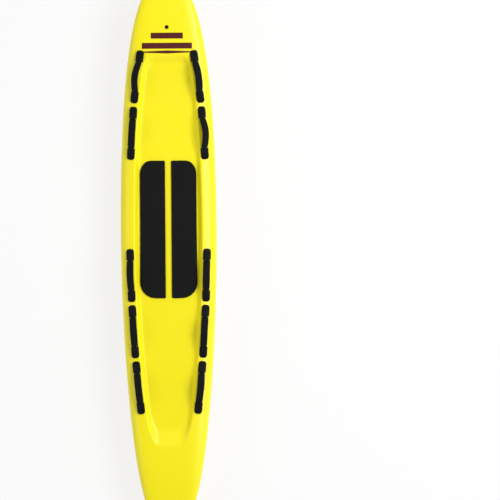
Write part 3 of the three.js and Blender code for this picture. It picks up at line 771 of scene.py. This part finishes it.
def sunken_copy(node, name, shape):
    """A copy of an inner solid's mesh, with its long flats split to stay under the curved deck."""
    mesh = frame["nodes"][node].data.copy()
    mesh.name = name
    cover, spare, short = shape.sizes.skin, 0.2 * MM, 6 * MM
    with edited(mesh) as work:
        for _ in range(6):
            bmesh.ops.triangulate(work, faces=[f for f in work.faces if len(f.verts) > 3])
            middles = np.array([(e.verts[0].co + e.verts[1].co) / 2 for e in work.edges])
            proud = middles[:, 2] > shape.deck(middles[:, 0], middles[:, 1]) - cover + spare
            split = [e for e, out in zip(work.edges, proud) if out and e.calc_length() > short]
            if not split:
                break
            bmesh.ops.subdivide_edges(work, edges=split, cuts=1)
            for vert in work.verts:
                top = float(shape.deck(vert.co.x, vert.co.y)) - cover
                vert.co.z = min(vert.co.z, top)
        bmesh.ops.triangulate(work, faces=[f for f in work.faces if len(f.verts) > 3])
    return tidy_mesh(mesh, 35)


class RESCUEBOARD_OT_core(bpy.types.Operator):
    """Finish the foam blank and its stringer"""

    bl_idname = "rescue_board.core"
    bl_label = "Foam Core"

    def execute(self, context):
        shape = HullShape(context)
        beads = bead_foam()
        for side in ("left", "right"):
            blank = sunken_copy(f"foam_core_{side}", f"foam_blank_{side}", shape)
            piece(blank, beads, "board", f"foam_core_{side}")
        spine = sunken_copy("stringer", "wood_spine", shape)
        piece(spine, cedar(), "board", "stringer")
        return {"FINISHED"}


# Knee pads

def pad_lattice(shape, side, inset):
    """A lattice of places over a knee pad, moved in from its edge. Its outer corners are large and
    round, most of all the rear one."""
    sizes = shape.sizes
    half = sizes.pad_length / 2 - inset
    # Rows that crowd towards both ends
    steps = np.linspace(-1, 1, 81)
    along = half * (0.35 * steps + 0.65 * np.sin(math.pi / 2 * steps))

    def corner(front, rear):
        """How far the edge draws in, by the reach and the width of its front and rear corner."""
        reach, width = np.where(along > 0, np.array([front]).T, np.array([rear]).T) * MM - inset / 2
        share = np.clip((np.abs(along) - half + reach) / reach, 0, 1)
        return width * (1 - np.sqrt(1 - share ** 2))

    inner = sizes.pad_inner + inset + corner((6, 6), (6, 6))
    flare = 3 * MM * np.clip(-along / half, 0, 1)
    outer = sizes.pad_outer + flare - inset - corner((80, 62), (94, 92))
    across = np.linspace(0, 1, 13)
    y = inner[:, None] + (outer - inner)[:, None] * across
    x = np.repeat(sizes.length * PAD_MIDDLE_SHARE + along[:, None], len(across), axis=1)
    return np.stack([x, y * side], axis=-1)


def knee_pad_mesh(name, shape, side):
    """A pad that lies on the recess floor, with a rounded bevel round its face."""
    # From the underside to the face, each by its inset and its height in millimetres. The first
    # and the last are whole sheets, and the others are rings round the edge.
    levels = [
        (0, 0.3), (0, 0.3), (0.1, 4.5), (0.5, 6.6), (1.3, 8.4), (2.6, 9.6), (4.4, 10), (4.4, 10),
    ]
    points, faces = [], []
    for i, (inset, height) in enumerate(levels):
        flat = pad_lattice(shape, side, inset * MM)
        rows, columns = flat.shape[:2]
        base = len(points)
        quads = []
        if i in (0, len(levels) - 1):
            quads = lattice_faces(rows, columns)
        else:
            flat = np.concatenate([flat[:, 0], flat[-1, 1:], flat[-2::-1, -1], flat[0, -2:0:-1]])
            if i + 2 < len(levels):
                quads = lattice_faces(2, len(flat), True)
        flat = flat.reshape(-1, 2)
        z = shape.deck(flat[:, 0], flat[:, 1]) + height * MM
        points += np.column_stack([flat, z]).tolist()
        faces += [tuple(base + n for n in face) for face in quads]
    return tidy_mesh(new_mesh(name, points, faces), 50)


class RESCUEBOARD_OT_knee_pads(bpy.types.Operator):
    """Glue the two knee pads into the recess"""

    bl_idname = "rescue_board.knee_pads"
    bl_label = "Knee Pads"

    def execute(self, context):
        shape = HullShape(context)
        foam = pad_foam(context.scene.rescue_colours.pad)
        for name, side in (("left", 1), ("right", -1)):
            mesh = knee_pad_mesh(f"{name}_pad_foam", shape, side)
            pad = piece(mesh, foam, "board", f"knee_pad_{name}")
        return {"FINISHED"}


# Handles

class Handle:
    """One handle: its place, its lean and the line of its strap."""

    def __init__(self, context, joint):
        self.sizes = context.scene.rescue_handles
        self.body = joint["child"]
        self.side = 1 if self.body.startswith("left") else -1
        along = Vector(joint["axis"]) * -self.side
        across = Vector((0, 0, 1)).cross(along).normalized()
        up = along.cross(across)
        start = Vector(joint["pos_m"]) - up * self.sizes.exit_height
        self.place = place_matrix(start, along, across, up)
        self.lean = self.side * math.radians(sum(joint["range_deg"]) / 2)
        self.exit = self.sizes.length / 2 - self.sizes.cap_length
        self.grip = self.exit - self.sizes.sleeve_gap
        self.fall = self.sizes.exit_height - self.sizes.tab_height
        self.exit_slope = self.sizes.rise * math.pi / 2 / self.exit
        self.ramp = 2 * self.fall / self.exit_slope

    def strap_height(self, u):
        """Height and slope of the strap's line at a place along the handle."""
        out = abs(u)
        if out <= self.exit:
            angle = math.pi / 2 * u / self.exit
            height = self.sizes.exit_height + self.sizes.rise * math.cos(angle)
            return height, -self.exit_slope * math.sin(angle)
        share = min(1, (out - self.exit) / self.ramp)
        slope = -math.copysign(2, u) * self.fall * (1 - share) / self.ramp
        return self.sizes.tab_height + self.fall * (1 - share) ** 2, slope

    def lean_at(self, u):
        """How far a ring at a place leans, which grows between the cap's mouth and the sleeve."""
        share = min(1, max(0, (self.exit - abs(u)) / self.sizes.sleeve_gap))
        return self.lean * share * share * (3 - 2 * share)

    def ring(self, u, outline, square=1):
        """One ring of points in the board's frame, square to the strap's line or partly upright."""
        height, slope = self.strap_height(u)
        tilt = math.atan(slope) * square
        turn = Matrix.Rotation(self.lean_at(u), 4, "X")
        raised = Vector((0, 0, self.sizes.exit_height))
        points = []
        for v, t in outline:
            flat = Vector((u - t * math.sin(tilt), v, height + t * math.cos(tilt))) - raised
            points.append(self.place @ (turn @ flat + raised))
        return points


def strap_mesh(name, handle, end):
    """Half of a strap, from its tab in one cap to the middle of the sleeve."""
    sizes = handle.sizes
    v, t = sizes.strap_width / 2, sizes.strap_thickness / 2
    edge = [(v - t, -t), (v - t * 0.3, -t * 0.7), (v, 0), (v - t * 0.3, t * 0.7), (v - t, t)]
    outline = edge + [(-v, t) for v, t in edge[::-1]]
    tab = sizes.length / 2 - 10 * MM
    stations = np.concatenate([
        np.linspace(tab, handle.exit, 8)[:-1], np.linspace(handle.exit, handle.grip, 9)[:-1],
        np.linspace(handle.grip, 0, 14),
    ])
    return loft_mesh(name, [handle.ring(end * u, outline) for u in stations], 50)


def sleeve_spot(sizes, turn):
    """A place on the plain section of the sleeve, a flattened oval."""
    v = oval(math.cos(turn), 0.72) * sizes.sleeve_width / 2
    return v, oval(math.sin(turn), 0.8) * sizes.sleeve_thickness / 2


def sleeve_swell(share):
    """How full the sleeve is at a share of its half length."""
    return 0.93 + 0.07 * (1 - min(1, abs(share)) ** 3.2) ** 0.8


def sleeve_mesh(name, handle, seed):
    """The padded sleeve, gathered at its hemmed ends and creased a little where it bends."""
    random = np.random.default_rng(seed)
    phases = random.uniform(0, 2 * math.pi, 4)
    turns = np.linspace(0, 2 * math.pi, 40, endpoint=False)
    ends = [(1, 0.7), (1, 0.9), (0.996, 0.95), (0.98, 0.98)]
    stations = [(-share, hem) for share, hem in ends]
    stations += [(share, 1) for share in np.linspace(-0.965, 0.965, 63)] + ends[::-1]
    # The hems reach past the part that lies over in full, to this far from a cap's mouth
    end_gap, groove_width = 2.8 * MM, 1.4 * MM
    crease_pitch, crease_depth, soft_pitch, soft_depth = 3.4 * MM, 0.45 * MM, 17 * MM, 0.5 * MM
    rings = []
    for share, hem in stations:
        u = share * (handle.exit - end_gap)
        hemline = (abs(share) - 0.9) * handle.grip / groove_width
        grow = sleeve_swell(share) * (1 - 0.05 * math.exp(-hemline ** 2)) * hem
        outline = []
        for turn in turns:
            c, s = math.cos(turn), math.sin(turn)
            v, t = sleeve_spot(handle.sizes, turn)
            crease = math.sin(u / crease_pitch + phases[0] + 1.3 * math.sin(turn + phases[1]))
            crease *= max(0, -s) ** 1.5 * crease_depth * (0.35 + abs(share))
            soft = math.sin(u / soft_pitch + phases[2]) * math.sin(2 * turn + phases[3])
            soft *= soft_depth
            outline.append((v * grow + soft * c * 0.6, t * grow + (crease + soft) * s))
        rings.append(handle.ring(u, outline, 1 - 0.75 * share ** 6))
    return loft_mesh(name, rings, 60)


def stitch_mesh(name, handle, turn):
    """A row of stitches along a sleeve's seam, each a short bent thread."""
    pitch, length, thread, slope = 4.2 * MM, 3 * MM, 0.42 * MM, 1.1 * MM
    steps = sides = 6
    count = int(1.8 * handle.grip / pitch)
    c, s = math.cos(turn), math.sin(turn)
    plain_v, plain_t = sleeve_spot(handle.sizes, turn)
    points, faces = [], []
    for i in range(count):
        start = (i - (count - 1) / 2) * pitch - length / 2
        for share in np.linspace(0, 1, steps):
            u = start + length * share
            swell = sleeve_swell(u / handle.grip)
            bend = math.sin(math.pi * share)
            radius = thread * (0.55 + 0.45 * bend)
            ring = []
            for angle in np.linspace(0, 2 * math.pi, sides, endpoint=False):
                out = thread * (1.5 * bend - 0.9) + radius * math.sin(angle)
                aside = (share - 0.5) * slope + radius * math.cos(angle)
                ring.append((
                    plain_v * swell + c * out - s * aside, plain_t * swell + s * out + c * aside,
                ))
            points += handle.ring(u, ring)
        quads = lattice_faces(steps, sides, True)
        ends = [tuple(range(sides)), tuple(range((steps - 1) * sides, steps * sides))]
        faces += [tuple(i * steps * sides + n for n in face) for face in quads + ends]
    return tidy_mesh(new_mesh(name, points, faces), 60)


def cap_mesh(name, shape, handle, end):
    """A moulded hood over the strap's tab, with its foot on the deck and a lip round its mouth."""
    sizes, place = handle.sizes, handle.place
    back = place.inverted()
    half, outer = sizes.cap_width / 2, sizes.length / 2
    mouth, centre = outer - sizes.cap_length, sizes.exit_height
    corner, draft, arc = 6 * MM, 0.7 * MM, np.linspace(0, math.pi / 2, 7)
    # The skirt at the foot, each point by its way out of the side and its height over the deck
    skirt = [(0.9 * MM, -2 * MM), (0.9 * MM, 0.8 * MM), (0.2 * MM, 2 * MM)]

    def foot(u, v):
        spot = place @ Vector((end * u, v, 0))
        ground = float(shape.deck(spot.x, spot.y))
        return (back @ Vector((spot.x, spot.y, ground))).z

    def section(u, width, top):
        side = [(width + out, up) for out, up in skirt]
        bend = min(corner, (top - 3 * MM) * 0.8)
        hood = [
            (width - bend * (1 - math.cos(a)), top - bend * (1 - math.sin(a)) - draft * math.cos(a))
            for a in arc
        ]
        hood.append((width * 0.35, top + 0.5 * MM))
        points = [(v, foot(u, v) + w) for v, w in side] + hood
        mirrored = [(-v, foot(u, -v) + w) for v, w in side] + [(-v, w) for v, w in hood]
        return points + mirrored[::-1]

    def ring(u, points):
        return [place @ Vector((end * u, v, w)) for v, w in points]

    rings = []
    shares = [0, 0, 0.008, 0.02, 0.04, 0.07, 0.11, 0.16, 0.21, 0.26, *np.linspace(0.32, 1, 13)]
    for i, share in enumerate(shares):
        # The hood widens from a round end and rises towards its mouth
        u = outer - sizes.cap_length * share
        plan = 0.3 + 0.7 * math.sqrt(max(0, 1 - max(0, 1 - share / 0.3) ** 2))
        top = sizes.cap_height * (0.22 + 0.78 * (1 - (1 - share) ** 1.9)) - 0.5 * MM
        if i == 0:
            top -= 1.2 * MM
            plan -= 0.05
        elif i == 1:
            u -= 0.4 * MM
        rings.append(ring(u, section(u, half * plan, top)))
    lip = section(mouth, half - 1.4 * MM, sizes.cap_height - 1.9 * MM)
    rings.append(ring(mouth - 0.9 * MM, lip))
    slot = []
    for v, w in lip:
        angle = math.atan2((w - centre) * 4.2, v)
        slot.append((
            oval(math.cos(angle), 0.5) * (sizes.strap_width / 2 + 1.2 * MM),
            oval(math.sin(angle), 0.7) * (sizes.strap_thickness / 2 + 1.4 * MM),
        ))
    # The slot runs in from the lip, by its way in, its drop and how far it narrows
    for run, drop, wide, high in ((-0.7, 0, 1, 1), (0.6, 0, 0.97, 0.8), (14, 2, 0.95, 0.75)):
        inside = [(v * wide, centre - drop * MM + w * high) for v, w in slot]
        rings.append(ring(mouth + run * MM, inside))
    return loft_mesh(name, rings, 55)


class RESCUEBOARD_OT_handles(bpy.types.Operator):
    """Fit the ten handles with their straps, sleeves, stitching and caps"""

    bl_idname = "rescue_board.handles"
    bl_label = "Handles"

    def execute(self, context):
        shape = HullShape(context)
        colours = context.scene.rescue_colours
        cloth, webbing = sleeve_cloth(colours.sleeve), strap_cloth(colours.webbing)
        rubber, thread = moulded("moulded_elastomer", colours.cap, 0.66, 0.9 * MM), seam_thread()
        joints = [j for j in frame["joints"] if j["name"].endswith("_swing")]
        if len(joints) != 10:
            raise RuntimeError("the frame needs ten handle joints")
        for seed, joint in enumerate(joints):
            handle = Handle(context, joint)
            name = handle.body
            for end, place in ((1, "front"), (-1, "rear")):
                half = strap_mesh(f"{name}_strap_{place}", handle, end)
                strap = piece(half, webbing, None, f"{name}_webbing")
                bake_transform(strap)
                cap = cap_mesh(f"{name}_{place}_cap", shape, handle, end)
                piece(cap, rubber, "board", f"{name}_{place}_anchor")
            padding = sleeve_mesh(f"{name}_sleeve", handle, seed)
            sleeve = piece(padding, cloth, name, f"{name}_grip")
            # The seam runs along the sleeve's inboard side, a little below its middle
            turn = math.radians(-12 if handle.side < 0 else 192)
            piece(stitch_mesh(f"{name}_stitching", handle, turn), thread, name)
        return {"FINISHED"}


# Fittings

def find_joint(name):
    """A joint of the frame by its name."""
    return next(j for j in frame["joints"] if j["name"] == name)


def joint_place(name):
    """Where a turning joint sits, with its axis as Z and the board's length near X."""
    joint = find_joint(name)
    up = Vector(joint["axis"])
    along = (Vector((1, 0, 0)) - up * up.x).normalized()
    return place_matrix(Vector(joint["pos_m"]), along, up.cross(along), up)


def rounded_profile(corners, radius):
    """A closed profile in metres with its corners rounded, from corners in millimetres."""
    corners = [Vector((r * MM, z * MM)) for r, z in corners]
    points = []
    for i, here in enumerate(corners):
        before, after = corners[i - 1] - here, corners[(i + 1) % len(corners)] - here
        reach = min(radius, before.length * 0.45, after.length * 0.45)
        start, end = here + before.normalized() * reach, here + after.normalized() * reach
        for share in np.linspace(0, 1, 5).tolist():
            rest = 1 - share
            points.append(tuple(start * rest ** 2 + here * 2 * share * rest + end * share ** 2))
    return points


def slotted_screw_mesh(name, place, radius, head_radius, low, head_low, high, slot):
    """A screw with a domed head, slotted by a width and a depth, and a threaded shank."""
    pitch, root = MM, radius * 0.84
    shank = []
    for i in range(int((head_low - low) / pitch) - 1):
        z = low + pitch * (i + 1)
        shank += [(root, z - pitch / 2), (radius, z)]
    corners = [
        (radius * 0.5, low), *shank, (root, head_low), (head_radius, head_low),
        (head_radius, high - 0.5 * MM), (head_radius - 0.6 * MM, high), (0, high), (0, low),
    ]
    mesh = turned_mesh(name, corners, 64, Matrix.Identity(4), 40)
    saw = bmesh.new()
    bmesh.ops.create_cube(saw, size=1)
    bmesh.ops.scale(saw, vec=(3 * head_radius, slot[0], 2 * slot[1]), verts=saw.verts)
    bmesh.ops.translate(saw, vec=(0, 0, high), verts=saw.verts)
    result = cut_mesh(mesh, saw)
    result.transform(place)
    return tidy_mesh(result, 40)


class RESCUEBOARD_OT_vent(bpy.types.Operator):
    """Fit the vent plug with its seal and its screw"""

    bl_idname = "rescue_board.vent"
    bl_label = "Vent Plug"

    def execute(self, context):
        place = joint_place("vent_screw_turn")
        nylon = moulded("moulded_nylon_vent", context.scene.rescue_colours.plastic, 0.42, 0.8 * MM)
        rubber = moulded("nitrile_rubber", linear("#0E0F10"), 0.7, 0.5 * MM)
        # Sections by radius and height in millimetres
        body = [
            (3.4, -20), (8.5, -20), (8.5, 0), (11.5, 0), (11.2, 1.4), (10.0, 2.9), (7, 3),
            (7, -0.9), (3.4, -0.9),
        ]
        seal = [(3.4, -0.6), (5, -0.6), (5, 0.4), (3.4, 0.4)]
        flange = turned_mesh("vent_flange", rounded_profile(body, 0.5 * MM), 72, place, 40)
        piece(flange, nylon, "board", "vent_body")
        washer = turned_mesh("vent_washer", rounded_profile(seal, 0.4 * MM), 48, place, 60)
        piece(washer, rubber, "board", "vent_seal")
        plug = slotted_screw_mesh(
            "vent_plug", place, radius=3 * MM, head_radius=6.5 * MM, low=-14.3 * MM,
            head_low=0.7 * MM, high=3.1 * MM, slot=(1.6 * MM, 1.2 * MM),
        )
        piece(plug, nylon, "vent_screw", "vent_screw")
        return {"FINISHED"}


def slot_frame():
    """The fin box's frame at the slot's middle: X along the slot and Z into the hull."""
    turn, slide = find_joint("fin_screw_turn"), find_joint("fin_slide")
    along, up = Vector(slide["axis"]), Vector(turn["axis"])
    slot_length, end_play, tab, ear = 267 * MM, 1.5 * MM, 165 * MM, 8 * MM
    start = Vector(turn["pos_m"]) - along * (-slot_length / 2 + end_play + tab + ear)
    return place_matrix(start, along, up.cross(along), up)


def fin_mesh(name, place):
    """The fin: a foiled blade with a swept leading edge, its base tab and its screw ear."""
    rear, tab, depth, wide, tip = -132 * MM, 165 * MM, 140 * MM, 8.8 * MM, 3 * MM
    tip_chord, sunk = 35 * MM, 2.5 * MM
    tip_start, smoothing, blunt_tail = 0.94, 0.06, 0.1
    # How far down the blade and how far back its leading edge has swept there
    down_shares = [0, 0.22, 0.48, 0.72, 0.9, 1]
    back_shares = [0, 0.09, 0.29, 0.57, 0.84, 1]
    foil = np.linspace(0, math.pi, 22)
    rings = []
    for down in np.concatenate([np.linspace(0, tip_start, 26), [0.965, 0.985, 0.996, 1]]):
        nearby = [down - smoothing, down, down + smoothing]
        before, back, after = np.interp(nearby, down_shares, back_shares)
        if smoothing < down < tip_start:
            back = 0.5 * back + 0.25 * (before + after)
        chord = tip_chord * back + tab * (1 - back)
        rounding = math.sqrt(1 - max(0, (down - tip_start) / (1 - tip_start)) ** 2)
        thick = (tip * down + wide * (1 - down)) * (0.25 + 0.75 * rounding)
        z = sunk - (depth + sunk) * down
        ring = []
        for side, angles in ((1, foil), (-1, foil[::-1][1:-1])):
            for angle in angles:
                along = (1 - math.cos(angle)) / 2
                # A foil that is round in front and thin but blunt behind
                full = 2.6 * math.sqrt(along) * (1 - along) ** 0.85 if along < 1 else 0
                full = max(full, blunt_tail if along > 0.5 else 0)
                y = side * min(1, full) * thick / 2
                ring.append(place @ Vector((rear + chord * (1 - along), y, z)))
        rings.append(ring)
    blade = loft_mesh(name, rings, 60)
    # The base tab and the screw's ear, each by its size and its middle
    with edited(blade) as work:
        for size, middle in (
            ((tab, wide, 21 * MM), (rear + tab / 2, 0, 10.5 * MM)),
            ((23 * MM, wide, 3 * MM), (rear + tab + 3.5 * MM, 0, 6.5 * MM)),
        ):
            made = bmesh.ops.create_cube(work, size=1)["verts"]
            bmesh.ops.scale(work, vec=size, verts=made)
            bmesh.ops.translate(work, vec=middle, verts=made)
            edges = list({e for v in made for e in v.link_edges})
            rounded = bmesh.ops.bevel(
                work, geom=edges, offset=0.6 * MM, segments=2, affect="EDGES", profile=0.5,
            )["verts"]
            block = {v for v in (*made, *rounded) if v.is_valid}
            bmesh.ops.transform(work, matrix=place, verts=list(block))
    return tidy_mesh(blade, 45)


def fin_box_mesh(name, shape):
    """The slot box, with its collar shaped to the bottom and its edges rounded."""
    mesh = merged_copy("fin_box")
    with edited(mesh) as work:
        # Cuts across the collar, so that it can follow the bottom's curve
        for x in np.linspace(-120 * MM, 120 * MM, 9):
            everything = work.verts[:] + work.edges[:] + work.faces[:]
            spot = (shape.slot_middle + x, 0, 0)
            bmesh.ops.bisect_plane(work, geom=everything, plane_co=spot, plane_no=(1, 0, 0))
        for vert in work.verts:
            ground = float(shape.bottom(vert.co.x, vert.co.y))
            if vert.co.z < ground + 2 * MM:
                vert.co.z = ground
    return rounded_mesh(name, mesh, 0.4 * MM, 40)


class RESCUEBOARD_OT_fin(bpy.types.Operator):
    """Fit the slot box, the fin and the fin's fasteners"""

    bl_idname = "rescue_board.fin"
    bl_label = "Fin and Box"

    def execute(self, context):
        colours = context.scene.rescue_colours
        steel = stainless(colours.steel)
        abs_plastic = moulded("moulded_abs_box", colours.plastic, 0.48, 0.9 * MM)
        nylon = moulded("glass_filled_nylon", colours.plastic, 0.3, 0.7 * MM)
        box = fin_box_mesh("slot_box", HullShape(context))
        piece(box, abs_plastic, "board", "fin_box")
        piece(fin_mesh("foiled_fin", slot_frame()), nylon, "fin", "fin")
        for name, node in (("plate_nut", "fin_plate_nut"), ("roll_pin", "fin_roll_pin")):
            fastener = rounded_mesh(name, merged_copy(node), 0.3 * MM, 30)
            piece(fastener, steel, "fin", node)
        upside = joint_place("fin_screw_turn") @ Matrix.Rotation(math.pi, 4, "X")
        screw = slotted_screw_mesh(
            "fin_fixing", upside, radius=2 * MM, head_radius=4 * MM, low=-18 * MM,
            head_low=-4.7 * MM, high=-2.3 * MM, slot=(1.2 * MM, 1 * MM),
        )
        piece(screw, steel, "fin_screw", "fin_screw")
        return {"FINISHED"}


# Stage

def area_light(name, place, aim, size, power):
    """A soft rectangular white lamp that points at a spot."""
    lamp = bpy.data.lights.new(name, "AREA")
    lamp.shape = "RECTANGLE"
    lamp.size, lamp.size_y = size
    lamp.energy = power
    lamp.color = linear(WHITE)
    obj = new_object(name, lamp)
    obj.location = place
    obj.rotation_euler = (Vector(aim) - Vector(place)).to_track_quat("-Z", "Y").to_euler()
    obj.visible_camera = False


def studio_world():
    """A white sky, dim overhead so that a flat deck doesn't mirror it."""
    world = bpy.data.worlds.new("studio")
    node = empty_tree(world)
    height = node("SeparateXYZ", {"Vector": node("TexCoord").outputs["Generated"]}).outputs["Z"]
    level = node("MapRange", {
        "From Min": 0.12, "From Max": 0.75, "To Min": 0.97, "To Max": 0.22, "Value": height,
    })
    sky = node("Background", {"Color": (*linear(WHITE), 1), "Strength": level})
    node("OutputWorld", {"Surface": sky})
    return world


class RESCUEBOARD_OT_stage(bpy.types.Operator):
    """Set the floor, the lamps and the camera"""

    bl_idname = "rescue_board.stage"
    bl_label = "Stage"

    def execute(self, context):
        scene = context.scene
        scene.view_settings.view_transform = "Standard"
        scene.world = studio_world()
        reach = 40
        corners = [(x * reach, y * reach, 0) for x, y in ((-1, -1), (1, -1), (1, 1), (-1, 1))]
        floor = new_object("studio_floor", new_mesh("studio_floor", corners, [(0, 1, 2, 3)]))
        floor.location.z = cad_low.z
        floor.data.materials.append(floor_paper())

        middle = (0, 0, 0.1)
        area_light("key_lamp", (0.9, -3.2, 4.9), middle, (5.5, 2.6), 280)
        area_light("fill_lamp", (-0.5, 4.2, 4.2), middle, (5.0, 2.6), 48)

        # Straight down on the deck, with the nose at the top of a picture of 500 pixels of 5.8 mm.
        # The board's middle lies at the pixel given here, and its nose leans a little to the left.
        picture, pixel, distance_up, deck_height = 500, 5.8 * MM, 16, 0.15
        middle_column, middle_row, tilt = 168.5, 256.1, math.radians(0.41)
        lens = bpy.data.cameras.new("camera")
        lens.sensor_width = 36
        lens.lens = lens.sensor_width * distance_up / (picture * pixel)
        lens.clip_end = 100
        camera = new_object("camera", lens)
        right = Vector((-math.sin(tilt), -math.cos(tilt), 0))
        up = Vector((math.cos(tilt), -math.sin(tilt), 0))
        start = Vector((
            (middle_row - picture / 2) * pixel, (middle_column - picture / 2) * pixel,
            distance_up + deck_height,
        ))
        camera.matrix_world = place_matrix(start, right, up, Vector((0, 0, 1)))
        scene.camera = camera
        return {"FINISHED"}


OPERATORS = (
    RESCUEBOARD_OT_stage,
    RESCUEBOARD_OT_hull,
    RESCUEBOARD_OT_core,
    RESCUEBOARD_OT_knee_pads,
    RESCUEBOARD_OT_handles,
    RESCUEBOARD_OT_vent,
    RESCUEBOARD_OT_fin,
)


class RESCUEBOARD_PT_panel(bpy.types.Panel):
    """Buttons and sizes for the rescue board"""

    bl_idname = "RESCUEBOARD_PT_panel"
    bl_label = "Rescue Board"
    bl_space_type = "VIEW_3D"
    bl_region_type = "UI"
    bl_category = "Rescue Board"

    def draw(self, context):
        for operator in OPERATORS:
            self.layout.operator(operator.bl_idname)
        scene = context.scene
        for group in (scene.rescue_hull, scene.rescue_handles, scene.rescue_colours):
            column = self.layout.column()
            for key in group.bl_rna.properties.keys():
                if key not in {"rna_type", "name"}:
                    column.prop(group, key)


CLASSES = (HullSizes, HandleSizes, FinishColours, *OPERATORS, RESCUEBOARD_PT_panel)


def register():
    for cls in CLASSES:
        bpy.utils.register_class(cls)
    bpy.types.Scene.rescue_hull = PointerProperty(type=HullSizes)
    bpy.types.Scene.rescue_handles = PointerProperty(type=HandleSizes)
    bpy.types.Scene.rescue_colours = PointerProperty(type=FinishColours)


def unregister():
    del bpy.types.Scene.rescue_colours
    del bpy.types.Scene.rescue_handles
    del bpy.types.Scene.rescue_hull
    for cls in reversed(CLASSES):
        bpy.utils.unregister_class(cls)


def main():
    """Builds the whole board."""
    register()
    bpy.ops.rescue_board.stage()
    bpy.ops.rescue_board.hull()
    bpy.ops.rescue_board.core()
    bpy.ops.rescue_board.knee_pads()
    bpy.ops.rescue_board.handles()
    bpy.ops.rescue_board.vent()
    bpy.ops.rescue_board.fin()


if __name__ == "__main__":
    main()
